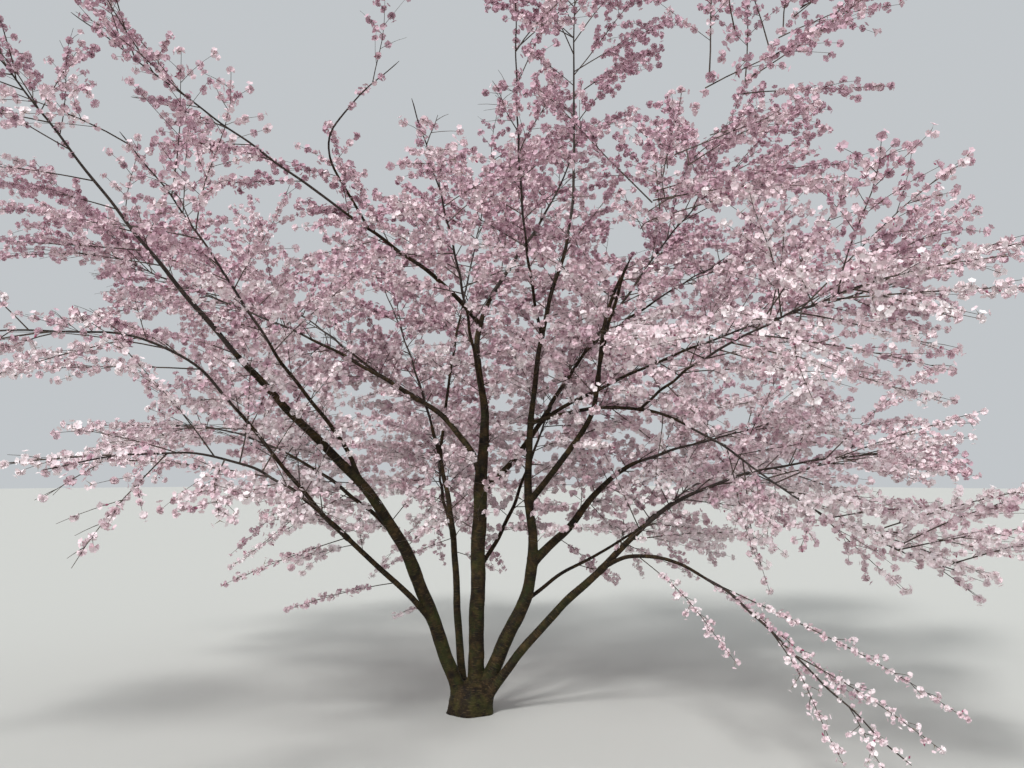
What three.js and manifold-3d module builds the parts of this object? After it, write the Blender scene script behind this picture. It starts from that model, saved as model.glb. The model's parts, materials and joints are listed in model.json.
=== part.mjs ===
// Cherry tree in full blossom: a short trunk, its fan of boughs and the blossom at their tips.
// Millimetres, Z up. The flat cut under the trunk lies on Z = 0 around the origin.

import * as THREE from 'three';
import { mergeVertices } from 'three/addons/utils/BufferGeometryUtils.js';
import loadManifold from 'manifold-3d';

const kit = await loadManifold();
kit.setup();
const { Manifold } = kit;

// Clearances

const JOINT_GAP = 0.35;
const SPACE_MARGIN = 4;
const LIMB_MARGIN = 8;
const GROUND_CLEARANCE = 320;

// Trunk

const TRUNK_WAIST_RADIUS = 130;
const TRUNK_HEIGHT = 172;
const TRUNK_CROWN = 38;
const TRUNK_LEAN = 12;
const FLARE_WIDTH = 15;
const FLARE_HEIGHT = 55;
const BUTTRESS_DEPTH = 0.06;
const STEM_ROOT_HEIGHT = 50;
const STUB_HEIGHT = 400;

// Boughs

const STEP = 40;
const RING_SPACING = 270;
const SWAY = 2.5;
const SWAY_LENGTH = 330;
const COLLAR_SWELL = 0.22;

// Blossom masses

const TWIGS_PER_METRE = 3.4;
const TWIG_START_RADIUS = 5;
const TWIG_END_RADIUS = 3;
const TWIG_REACH = 950;
const TWIG_ANGLE = 62;
const GOLDEN_ANGLE = 137.508;
const FLATTENING = 0.7;
const TWIG_LIFT = 0.1;
const SPRAY_LENGTH = 680;
const SPRAY_WIDTH = 430;
const SPRAY_DEPTH = 290;
const SMOOTHING = 1.5;
const TRIM_STEPS = [1, 0.86, 0.72, 0.58, 0.44];

// Limbs in order of growth. Angles in degrees: heading 0 is +X and 90 is +Y, climb 90 is straight
// up. Lists run evenly from the limb's start to the far end of its blossom. "bare" is the share of
// the length that is clear wood before the blossom mass takes over, "at" is the place on the
// parent in millimetres, and "root" is a stem's distance and heading from the trunk's middle.

const LIMBS = [
  { name: 'stem_left', root: [52, 185], length: 5450, bare: 0.5,
    girth: [46, 42, 28, 19, 12, 8, 4],
    heading: [-165, -158, -160, -160, -158, -158, -160],
    climb: [72, 67, 43, 48, 51, 52, 46] },
  { name: 'stem_centre', root: [26, 0], length: 4750, bare: 0.6,
    girth: [52, 49, 45, 23, 17, 12, 8, 4],
    heading: [0, 0, 0, 130, 60, 35, 42, 50],
    climb: [88, 89, 88, 76, 52, 52, 60, 70] },
  { name: 'stem_right', root: [56, 5], length: 5380, bare: 0.6,
    girth: [50, 45, 30, 21, 16, 13, 11, 9, 7, 4],
    heading: [0, 0, 0, 45, 30, 20, 60, 90, 60, 20],
    climb: [70, 62, 98, 84, 80, 70, 84, 89, 88, 86] },
  { name: 'stem_spreading', root: [78, -20], length: 3500, bare: 0.46,
    girth: [30, 28, 25, 18, 12, 9, 7, 4],
    heading: [-8, -14, -22, -24, -6, 4, 6, 6],
    climb: [56, 50, 42, 46, 24, 10, 6, 4] },
  { name: 'stem_back', root: [48, 125], length: 4100, bare: 0.5,
    girth: [27, 24, 18, 12, 9, 7, 4],
    heading: [125, 100, 112, 118, 118, 116, 116],
    climb: [73, 74, 60, 54, 50, 42, 36] },
  { name: 'bough_low_left', parent: 'stem_left', at: 560, length: 4150, bare: 0.46,
    girth: [20, 16, 12, 9, 7, 6, 4],
    heading: [-143, -148, -145, -150, -162, -164, -166],
    climb: [45, 40, 50, 48, 0, -4, -2] },
  { name: 'bough_mid_left', parent: 'stem_left', at: 1600, length: 2850, bare: 0.4,
    girth: [15, 12, 9, 7, 6, 4],
    heading: [-137, -124, -124, -121, -118, -116],
    climb: [66, 38, 47, 45, 36, 30] },
  { name: 'bough_back_left_low', parent: 'stem_left', at: 1180, length: 2900, bare: 0.4,
    girth: [15, 12, 9, 7, 6, 4],
    heading: [150, 146, 149, 151, 152, 152],
    climb: [35, 28, 20, 12, 0, -6] },
  { name: 'bough_front_left', parent: 'bough_low_left', at: 850, length: 2400, bare: 0.36,
    girth: [12, 9, 7, 6, 4],
    heading: [-114, -106, -108, -114, -118],
    climb: [32, 22, 12, -2, -12] },
  { name: 'bough_far_left', parent: 'stem_centre', at: 1490, length: 4150, bare: 0.44,
    girth: [22, 17, 12, 9, 7, 6, 4],
    heading: [135, 151, 159, 164, 168, 168, 168],
    climb: [60, 29, 28, 23, 21, 24, 24] },
  { name: 'bough_high_left', parent: 'stem_centre', at: 2590, length: 3150, bare: 0.4,
    girth: [17, 13, 9, 7, 6, 4],
    heading: [-133, -146, -152, -153, -155, -156],
    climb: [42, 27, 30, 30, 32, 32] },
  { name: 'bough_top_left', parent: 'bough_high_left', at: 1060, length: 1500, bare: 0.36,
    girth: [9, 8, 6.5, 5, 4],
    heading: [180, -150, -30, -20, -15],
    climb: [65, 54, 42, 34, 28] },
  { name: 'bough_high_right', parent: 'stem_centre', at: 1380, length: 4000, bare: 0.46,
    girth: [22, 17, 13, 10, 8, 7, 5, 4],
    heading: [25, 35, 44, 41, 38, 30, 26, 22],
    climb: [34, 53, 48, 44, 50, 46, 42, 38] },
  { name: 'bough_back_right', parent: 'stem_centre', at: 865, length: 3250, bare: 0.4,
    girth: [15, 12, 9, 7, 6, 4],
    heading: [55, 63, 66, 68, 68, 68],
    climb: [35, 49, 46, 36, 26, 20] },
  { name: 'bough_back_left', parent: 'bough_far_left', at: 840, length: 2800, bare: 0.36,
    girth: [12, 10, 8, 6.5, 5, 4],
    heading: [138, 128, 128, 129, 130, 130],
    climb: [25, 24, 26, 24, 20, 18] },
  { name: 'bough_front', parent: 'stem_centre', at: 2050, length: 2350, bare: 0.34,
    girth: [12, 9.5, 7.5, 5.5, 4],
    heading: [-100, -97, -97, -99, -100],
    climb: [42, 38, 32, 28, 24] },
  { name: 'bough_outer_right', parent: 'bough_high_right', at: 690, length: 2950, bare: 0.42,
    girth: [14, 11, 9, 7, 5.5, 4],
    heading: [12, 6, 3, 2, 2, 2],
    climb: [30, 25, 22, 18, 15, 12] },
  { name: 'bough_far_right', parent: 'bough_high_right', at: 1380, length: 2750, bare: 0.36,
    girth: [11, 9.5, 8, 6.5, 5, 4],
    heading: [48, 45, 43, 42, 42, 42],
    climb: [30, 28, 28, 25, 21, 18] },
  { name: 'bough_low_right', parent: 'stem_right', at: 980, length: 2950, bare: 0.4,
    girth: [30, 22, 13, 9, 6, 4],
    heading: [22, 38, 33, 24, 18, 14],
    climb: [36, 44, 16, 12, 16, 18] },
  { name: 'bough_upper_right', parent: 'stem_right', at: 1370, length: 3800, bare: 0.46,
    girth: [22, 18, 13, 10, 8, 6.5, 5, 4],
    heading: [-40, -40, -82, -40, -28, -31, -34, -34],
    climb: [47, 45, 75, 60, 52, 50, 48, 46] },
  { name: 'bough_arching', parent: 'stem_right', at: 1900, length: 2850, bare: 0.4,
    girth: [14, 11, 8, 6.5, 5, 4],
    heading: [-38, -31, -40, -41, -39, -38],
    climb: [16, 2, -26, -36, -24, -16] },
  { name: 'bough_top_front', parent: 'stem_right', at: 2500, length: 2250, bare: 0.32,
    girth: [11, 9, 7, 5.5, 4],
    heading: [-112, -104, -96, -92, -90],
    climb: [58, 56, 54, 52, 50] },
  { name: 'bough_back_right_low', parent: 'stem_right', at: 720, length: 2900, bare: 0.4,
    girth: [13, 10.5, 8.5, 6.5, 5, 4],
    heading: [40, 31, 44, 49, 50, 50],
    climb: [30, 19, 24, 20, 12, 6] },
  { name: 'bough_front_right', parent: 'bough_upper_right', at: 1000, length: 2450, bare: 0.34,
    girth: [12, 9.5, 7.5, 5.5, 4],
    heading: [-84, -76, -72, -72, -72],
    climb: [50, 43, 38, 34, 30] },
  { name: 'bough_front_right_low', parent: 'bough_arching', at: 820, length: 2350, bare: 0.34,
    girth: [9, 8, 6.5, 5, 4],
    heading: [-80, -74, -71, -71, -72],
    climb: [14, 14, 10, 6, 2] },
  { name: 'bough_trailing', parent: 'stem_spreading', at: 1200, length: 2500, bare: 0.4,
    girth: [14, 11, 8, 6.5, 5, 4],
    heading: [-54, -62, -59, -64, -70, -72],
    climb: [28, 0, -18, -29, -22, -20] },
  { name: 'bough_back_low', parent: 'stem_back', at: 1120, length: 2750, bare: 0.38,
    girth: [13, 10.5, 8, 6.5, 5, 4],
    heading: [108, 99, 96, 95, 96, 96],
    climb: [35, 25, 18, 10, 5, 0] },
  { name: 'bough_back_high', parent: 'stem_back', at: 1750, length: 3100, bare: 0.4,
    girth: [12, 10.5, 9, 7, 5.5, 4],
    heading: [80, 76, 72, 72, 75, 76],
    climb: [70, 67, 63, 62, 62, 62] },
];

// Colours

const TRUNK_COLOUR = 0x3d322b;
const BOUGH_COLOUR = 0x453830;
const BLOSSOM_COLOURS = [0xe3b8c2, 0xd9a9b6, 0xebc8cf, 0xcf9dac];

const radians = THREE.MathUtils.degToRad;
const UP = new THREE.Vector3(0, 0, 1);

// Value of an evenly spaced list at a share from 0 to 1
function along(list, share) {
  const place = Math.min(Math.max(share, 0), 1) * (list.length - 1);
  const index = Math.min(Math.floor(place), list.length - 2);
  return THREE.MathUtils.lerp(list[index], list[index + 1], place - index);
}

// Headings turn the short way round, also across the back of the circle
function headingAlong(list, share) {
  const turned = [list[0]];
  for (const angle of list.slice(1)) {
    const last = turned[turned.length - 1];
    turned.push(last + THREE.MathUtils.euclideanModulo(angle - last + 180, 360) - 180);
  }
  return along(turned, share);
}

function direction(heading, climb) {
  const level = Math.cos(radians(climb));
  return new THREE.Vector3(
    level * Math.cos(radians(heading)),
    level * Math.sin(radians(heading)),
    Math.sin(radians(climb)),
  );
}

// A path is a row of points an even step apart, walked from its start
function walk(start, length, headings, climbs, phase) {
  const count = Math.ceil(length / STEP);
  const step = length / count;
  const points = [start.clone()];
  for (let i = 0; i < count; i += 1) {
    const share = (i + 0.5) / count;
    const swing = (2 * Math.PI * share * length) / SWAY_LENGTH + phase;
    const heading = headingAlong(headings, share) + 2 * SWAY * Math.sin(swing);
    const climb = along(climbs, share) + SWAY * Math.cos(0.7 * swing);
    points.push(points[i].clone().addScaledVector(direction(heading, climb), step));
  }
  return { points, length };
}

function pointAt(path, share) {
  const place = Math.min(Math.max(share, 0), 1) * (path.points.length - 1);
  const index = Math.min(Math.floor(place), path.points.length - 2);
  return path.points[index].clone().lerp(path.points[index + 1], place - index);
}

function directionAt(path, share) {
  const before = pointAt(path, share - 0.02);
  const after = pointAt(path, share + 0.02);
  return after.sub(before).normalize();
}

function shareAtHeight(path, height) {
  const index = path.points.findIndex((point) => point.z > height);
  return index / (path.points.length - 1);
}

function toSolid(geometry) {
  const bare = geometry.clone();
  bare.deleteAttribute('normal');
  bare.deleteAttribute('uv');
  const welded = mergeVertices(bare, 0.001);
  return new Manifold(new kit.Mesh({
    numProp: 3,
    vertProperties: new Float32Array(welded.attributes.position.array),
    triVerts: new Uint32Array(welded.index.array),
  }));
}

function toGeometry(solid) {
  const mesh = solid.getMesh();
  const geometry = new THREE.BufferGeometry();
  geometry.setAttribute('position', new THREE.BufferAttribute(mesh.vertProperties, 3));
  geometry.setIndex(new THREE.BufferAttribute(mesh.triVerts, 1));
  geometry.computeVertexNormals();
  return geometry;
}

// The trimmed offcuts of a cut limb are dropped
function largestPiece(solid) {
  const pieces = solid.decompose();
  pieces.sort((a, b) => b.volume() - a.volume());
  return pieces[0];
}

// A round bar bent along a path between two shares, its radius a function of the share
function bar(path, from, to, radius, sides, rings) {
  const geometry = new THREE.CylinderGeometry(1, 1, 1, sides, rings);
  const chord = pointAt(path, to).sub(pointAt(path, from));
  const level = new THREE.Vector3(-chord.y, chord.x, 0);
  const side = level.length() > 1 ? level.normalize() : new THREE.Vector3(0, 1, 0);
  const position = geometry.attributes.position;
  for (let i = 0; i < position.count; i += 1) {
    const share = THREE.MathUtils.lerp(from, to, position.getY(i) + 0.5);
    const tangent = directionAt(path, share);
    const across = side.clone().addScaledVector(tangent, -side.dot(tangent)).normalize();
    const third = new THREE.Vector3().crossVectors(across, tangent);
    const size = radius(share);
    const point = pointAt(path, share)
      .addScaledVector(across, position.getX(i) * size)
      .addScaledVector(third, position.getZ(i) * size);
    position.setXYZ(i, point.x, point.y, point.z);
  }
  return toSolid(geometry);
}

// Limb paths and radii

const limbs = new Map();

function growLimb(row, order) {
  const parent = row.parent ? limbs.get(row.parent) : null;
  const place = parent ? row.at / parent.length : 0;
  const start = parent
    ? pointAt(parent.path, place)
    : direction(row.root[1], 0).multiplyScalar(row.root[0]).setZ(STEM_ROOT_HEIGHT);
  const path = walk(start, row.length, row.heading, row.climb, order);
  const parentRadius = parent ? parent.radius(place) : 0;
  const radius = (share) => {
    const swell = parent ? COLLAR_SWELL * Math.exp((-share * row.length) / (1.6 * parentRadius)) : 0;
    const size = along(row.girth, share) * (1 + swell);
    return parent ? Math.min(size, parentRadius * 0.93) : size;
  };
  limbs.set(row.name, { ...row, path, radius, parentLimb: parent });
}

LIMBS.forEach(growLimb);

// A limb's bare wood, from the flat cut of its stub or from its parent's middle
function limbBar(limb, extra) {
  const from = limb.cut ? limb.cut + JOINT_GAP / limb.length : 0;
  return ringedBar(limb, from, limb.bare, extra);
}

function ringedBar(limb, from, to, extra) {
  const sides = limb.parent ? 6 : 8;
  const rings = Math.max(2, Math.round(((to - from) * limb.length) / RING_SPACING));
  return bar(limb.path, from, to, (share) => limb.radius(share) + extra, sides, rings);
}

// Trunk: a flared, faintly fluted foot with the stubs its stems grow on from

function trunkFoot() {
  const geometry = new THREE.CylinderGeometry(1, 1, 1, 18, 6);
  const position = geometry.attributes.position;
  for (let i = 0; i < position.count; i += 1) {
    const share = position.getY(i) + 0.5;
    const height = share * TRUNK_HEIGHT;
    const angle = Math.atan2(position.getX(i), position.getZ(i));
    const reach = Math.hypot(position.getX(i), position.getZ(i));
    const flare = FLARE_WIDTH * Math.exp(-height / FLARE_HEIGHT);
    const flutes = 1 + BUTTRESS_DEPTH * Math.cos(5 * angle + 0.6) * (1 - 0.6 * share);
    const crown = 1 - (0.22 * Math.max(0, share - 0.5)) / 0.5;
    const radius = (TRUNK_WAIST_RADIUS + flare) * flutes * crown * reach;
    const rise = reach < 0.5 && share > 0.99 ? TRUNK_CROWN : 0;
    position.setXYZ(
      i,
      radius * Math.sin(angle) + TRUNK_LEAN * share,
      -radius * Math.cos(angle),
      height + rise,
    );
  }
  return toSolid(geometry);
}

const stems = [...limbs.values()].filter((limb) => !limb.parent);
for (const stem of stems) {
  stem.cut = shareAtHeight(stem.path, STUB_HEIGHT);
}

function buildTrunk() {
  const stubs = stems.map((stem) => ringedBar(stem, 0, stem.cut, 0));
  return Manifold.union([trunkFoot(), ...stubs]);
}

function buildLimb(limb) {
  const wood = limbBar(limb, 0);
  return limb.parentLimb ? largestPiece(wood.subtract(limbBar(limb.parentLimb, JOINT_GAP))) : wood;
}

// Blossom masses: each grows from its bough's tip inside its own space

function dice(seed) {
  let state = Math.imul(seed + 11, 2654435761) >>> 0;
  return () => {
    state = (Math.imul(state, 1664525) + 1013904223) >>> 0;
    return state / 4294967296;
  };
}

const masses = [...limbs.values()].map((limb, order) => ({
  limb,
  order,
  path: limb.path,
  start: limb.bare + JOINT_GAP / limb.length,
  length: limb.length * (1 - limb.bare),
  centre: pointAt(limb.path, (1 + limb.bare) / 2),
}));

function insideSpace(mass, point, margin) {
  if (point.z < GROUND_CLEARANCE) {
    return false;
  }
  return masses.every((other) => {
    if (other === mass) {
      return true;
    }
    const between = other.centre.clone().sub(mass.centre);
    const middle = other.centre.clone().add(mass.centre).multiplyScalar(0.5);
    return middle.sub(point).dot(between) / between.length() > margin;
  });
}

// Beads along every limb and mass stem stand for its wood when a twig or spray looks for room
function beadsAlong(limb, from, to, owner) {
  const count = Math.ceil(((to - from) * limb.length) / 20);
  return Array.from({ length: count + 1 }, (_, i) => {
    const share = THREE.MathUtils.lerp(from, to, i / count);
    return { point: pointAt(limb.path, share), radius: limb.radius(share), owner };
  });
}

const beads = masses.flatMap((mass) => [
  ...beadsAlong(mass.limb, 0, mass.start, null),
  ...beadsAlong(mass.limb, mass.start, 1, mass),
]);

function twigIsFree(mass, from, to, radius) {
  const run = to.clone().sub(from);
  const length = run.length();
  return insideSpace(mass, from, radius + SPACE_MARGIN)
    && insideSpace(mass, to, radius + SPACE_MARGIN)
    && beads.every((bead) => {
      if (bead.owner === mass) {
        return true;
      }
      const share = Math.min(Math.max(bead.point.clone().sub(from).dot(run) / length ** 2, 0), 1);
      const nearest = from.clone().addScaledVector(run, share);
      return nearest.distanceTo(bead.point) > bead.radius + radius + LIMB_MARGIN;
    });
}

function sprayIsFree(mass, spray) {
  const { centre, axes, halves } = spray;
  const corners = axes.flatMap((axis, i) => [
    centre.clone().addScaledVector(axis, halves[i]),
    centre.clone().addScaledVector(axis, -halves[i]),
  ]);
  const slope = Math.hypot(1 / halves[0], 1 / halves[1], 1 / halves[2]);
  return corners.every((corner) => insideSpace(mass, corner, SPACE_MARGIN))
    && beads.every((bead) => {
      if (bead.owner === mass) {
        return true;
      }
      const offset = bead.point.clone().sub(centre);
      const depth = axes.reduce((sum, axis, i) => sum + Math.abs(offset.dot(axis)) / halves[i], 0);
      return depth > 1 + (bead.radius + LIMB_MARGIN) * slope;
    });
}

// Three axes for a spray: along its twig, level across it, and the third
function sprayAxes(run, roll) {
  const forward = run.clone().normalize();
  const level = new THREE.Vector3().crossVectors(forward, UP);
  const side = level.length() > 0.05 ? level.normalize() : new THREE.Vector3(1, 0, 0);
  side.applyAxisAngle(forward, roll);
  return [forward, side, new THREE.Vector3().crossVectors(forward, side)];
}

function fittingSpray(mass, centre, run, scale, roll) {
  const axes = sprayAxes(run, roll);
  for (const trim of TRIM_STEPS) {
    const size = (scale * trim) / 2;
    const spray = { centre, axes, halves: [SPRAY_LENGTH * size, SPRAY_WIDTH * size, SPRAY_DEPTH * size] };
    if (sprayIsFree(mass, spray)) {
      return spray;
    }
  }
  return null;
}

// A twig ends in the first of its two sprays, and the second grows on from that one
function growTwig(mass, place, turn, roll) {
  const share = THREE.MathUtils.lerp(mass.start, 1, place);
  const from = pointAt(mass.path, share);
  const stemRun = directionAt(mass.path, share);
  const [, side, third] = sprayAxes(stemRun, 0);
  const angle = radians(TWIG_ANGLE - 22 * place + 10 * roll());
  const run = stemRun.clone().multiplyScalar(Math.cos(angle))
    .addScaledVector(side, Math.sin(angle) * Math.cos(turn))
    .addScaledVector(third, Math.sin(angle) * Math.sin(turn));
  run.z = run.z * FLATTENING + TWIG_LIFT;
  run.normalize();
  const widest = Math.min(TWIG_REACH, 0.55 * mass.length);
  const reach = widest * (1 - 1.1 * (place - 0.35) ** 2) * (0.8 + 0.4 * roll());
  const rolls = [roll(), roll(), roll(), roll()];
  for (const trim of TRIM_STEPS) {
    const middle = from.clone().addScaledVector(run, 0.48 * reach * trim);
    const end = from.clone().addScaledVector(run, 0.84 * reach * trim);
    if (twigIsFree(mass, from, end, TWIG_START_RADIUS)) {
      const sprays = [middle, end].map((centre, i) => fittingSpray(
        mass,
        centre,
        run,
        trim * (0.88 + 0.24 * rolls[2 * i]),
        (rolls[2 * i + 1] - 0.5) * 1.2,
      ));
      const found = sprays.filter((spray) => spray);
      if (found.length > 0) {
        return { from, to: found.length === 2 ? middle : end, sprays: found };
      }
    }
  }
  return null;
}

function straightBar(from, to, startRadius, endRadius) {
  const path = { points: [from, to], length: from.distanceTo(to) };
  const radius = (share) => THREE.MathUtils.lerp(startRadius, endRadius, share);
  return bar(path, 0, 1, radius, 3, 1);
}

function spraySolid(spray) {
  const geometry = new THREE.OctahedronGeometry(1);
  const placing = new THREE.Matrix4().makeBasis(
    spray.axes[0].clone().multiplyScalar(spray.halves[0]),
    spray.axes[1].clone().multiplyScalar(spray.halves[1]),
    spray.axes[2].clone().multiplyScalar(spray.halves[2]),
  ).setPosition(spray.centre);
  return toSolid(geometry.applyMatrix4(placing));
}

function buildMass(mass) {
  const roll = dice(mass.order);
  const pieces = [bar(mass.path, mass.start, 1, mass.limb.radius, 3, 5)];
  const count = Math.round((TWIGS_PER_METRE * mass.length) / 1000);
  const firstTurn = 2 * Math.PI * roll();
  for (let i = 0; i < count; i += 1) {
    const place = 0.08 + (0.84 * (i + 0.3 * roll())) / count;
    const twig = growTwig(mass, place, firstTurn + radians(GOLDEN_ANGLE * i), roll);
    if (twig) {
      pieces.push(straightBar(twig.from, twig.to, TWIG_START_RADIUS, TWIG_END_RADIUS));
      pieces.push(...twig.sprays.map(spraySolid));
    }
  }
  for (const place of [0.7, 0.96]) {
    const share = THREE.MathUtils.lerp(mass.start, 1, place);
    const run = directionAt(mass.path, share);
    const spray = fittingSpray(mass, pointAt(mass.path, share), run, 1, roll());
    if (spray) {
      pieces.push(spraySolid(spray));
    }
  }
  return largestPiece(Manifold.union(pieces).simplify(SMOOTHING));
}

// Assembly

const tree = new THREE.Group();
tree.name = 'cherry_blossom_tree';

function addNode(name, solid, colour, roughness) {
  const material = new THREE.MeshStandardMaterial({ color: colour, roughness, metalness: 0 });
  const mesh = new THREE.Mesh(toGeometry(solid), material);
  mesh.name = name;
  tree.add(mesh);
}

addNode('trunk', buildTrunk(), TRUNK_COLOUR, 0.92);
for (const limb of limbs.values()) {
  addNode(limb.name, buildLimb(limb), BOUGH_COLOUR, 0.88);
}
for (const mass of masses) {
  const name = mass.limb.name.replace(/^(stem|bough)/, 'blossom');
  addNode(name, buildMass(mass), BLOSSOM_COLOURS[mass.order % BLOSSOM_COLOURS.length], 0.75);
}

export default tree;
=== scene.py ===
"""Flowering cherry tree: bark with relief, fine twigs and blossom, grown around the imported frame."""

import functools
import json
import math

import bmesh
import bpy
import numpy as np
from mathutils import Matrix, Vector, noise

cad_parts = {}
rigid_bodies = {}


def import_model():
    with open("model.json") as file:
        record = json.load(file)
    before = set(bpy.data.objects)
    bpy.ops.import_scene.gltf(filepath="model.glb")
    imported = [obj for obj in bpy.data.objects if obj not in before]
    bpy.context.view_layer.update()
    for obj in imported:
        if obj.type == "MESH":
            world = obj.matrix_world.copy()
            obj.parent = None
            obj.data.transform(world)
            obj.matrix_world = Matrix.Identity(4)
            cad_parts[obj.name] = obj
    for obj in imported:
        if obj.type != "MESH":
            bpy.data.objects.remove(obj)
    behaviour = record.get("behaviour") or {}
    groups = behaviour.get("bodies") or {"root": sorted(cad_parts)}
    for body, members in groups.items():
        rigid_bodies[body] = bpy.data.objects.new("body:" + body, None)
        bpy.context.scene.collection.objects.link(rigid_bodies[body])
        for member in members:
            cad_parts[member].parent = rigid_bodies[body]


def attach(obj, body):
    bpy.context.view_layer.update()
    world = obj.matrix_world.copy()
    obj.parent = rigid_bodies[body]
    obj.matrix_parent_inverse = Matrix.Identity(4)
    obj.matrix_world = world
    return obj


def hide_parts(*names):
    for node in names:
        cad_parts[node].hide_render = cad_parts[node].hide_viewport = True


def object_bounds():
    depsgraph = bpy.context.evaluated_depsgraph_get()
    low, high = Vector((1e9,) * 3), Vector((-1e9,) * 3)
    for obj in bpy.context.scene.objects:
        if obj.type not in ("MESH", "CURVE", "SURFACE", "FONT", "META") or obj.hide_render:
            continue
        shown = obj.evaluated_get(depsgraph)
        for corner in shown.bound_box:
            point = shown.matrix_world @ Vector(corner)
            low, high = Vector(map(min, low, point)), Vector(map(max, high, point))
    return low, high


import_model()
cad_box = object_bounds()

bl_info = {
    "name": "Flowering cherry tree",
    "version": (1, 0, 0),
    "blender": (4, 5, 0),
    "location": "3D View > Sidebar > Cherry",
    "description": "Grows bark, twigs and blossom of a flowering cherry around its CAD frame",
    "category": "Add Mesh",
}

# Growing rule of the part's source, in metres and degrees

SPACE_MARGIN = 0.004
LIMB_MARGIN = 0.008
GROUND_CLEARANCE = 0.32
BOX_MARGIN = 0.04
FORK_GAP = 0.00035
BEAD_SPACING = 0.02

TRUNK_WAIST_RADIUS = 0.13
TRUNK_HEIGHT = 0.172
TRUNK_CROWN = 0.038
TRUNK_LEAN = 0.012
TRUNK_TAPER = 0.22
FLARE_WIDTH = 0.015
FLARE_HEIGHT = 0.055
BUTTRESSES = 5
BUTTRESS_TURN = 0.6
BUTTRESS_DEPTH = 0.06
STEM_ROOT_HEIGHT = 0.05

STEP = 0.04
SWAY = 2.5
SWAY_LENGTH = 0.33
COLLAR_SWELL = 0.22
COLLAR_REACH = 1.6
COLLAR_LIMIT = 0.93

# Twigs and their sprays, partly left to chance. Their places along the wood are given by the
# first, the run and the chance in a step. Their angles to the stem are given at the mass's foot,
# with the change to its tip and the chance. Their reaches and scales are the least and the chance

TWIGS_PER_METRE = 3.4
TWIG_START_RADIUS = 0.005
TWIG_REACH = 0.95
TWIG_SHARE_OF_MASS = 0.55
TWIG_PLACES = (0.08, 0.84, 0.3)
TWIG_ANGLES = (62, -22, 10)
TWIG_REACHES = (0.8, 0.4)
GOLDEN_ANGLE = 137.508
FLATTENING = 0.7
TWIG_LIFT = 0.1
SPRAY_SIZE = np.array([0.68, 0.43, 0.29])
SPRAY_SCALES = (0.88, 0.24)
SPRAY_TILT = 1.2
SPRAY_PLACES = (0.48, 0.84)
TRIM_STEPS = [1, 0.86, 0.72, 0.58, 0.44]

# Limbs in order of growth, as in the part's source, in millimetres and degrees: the name, the
# parent and the place on it (or the distance and heading of the root), the length, the share that
# is clear wood, and the radius, heading and climb at even steps from the root to the tip

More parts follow.
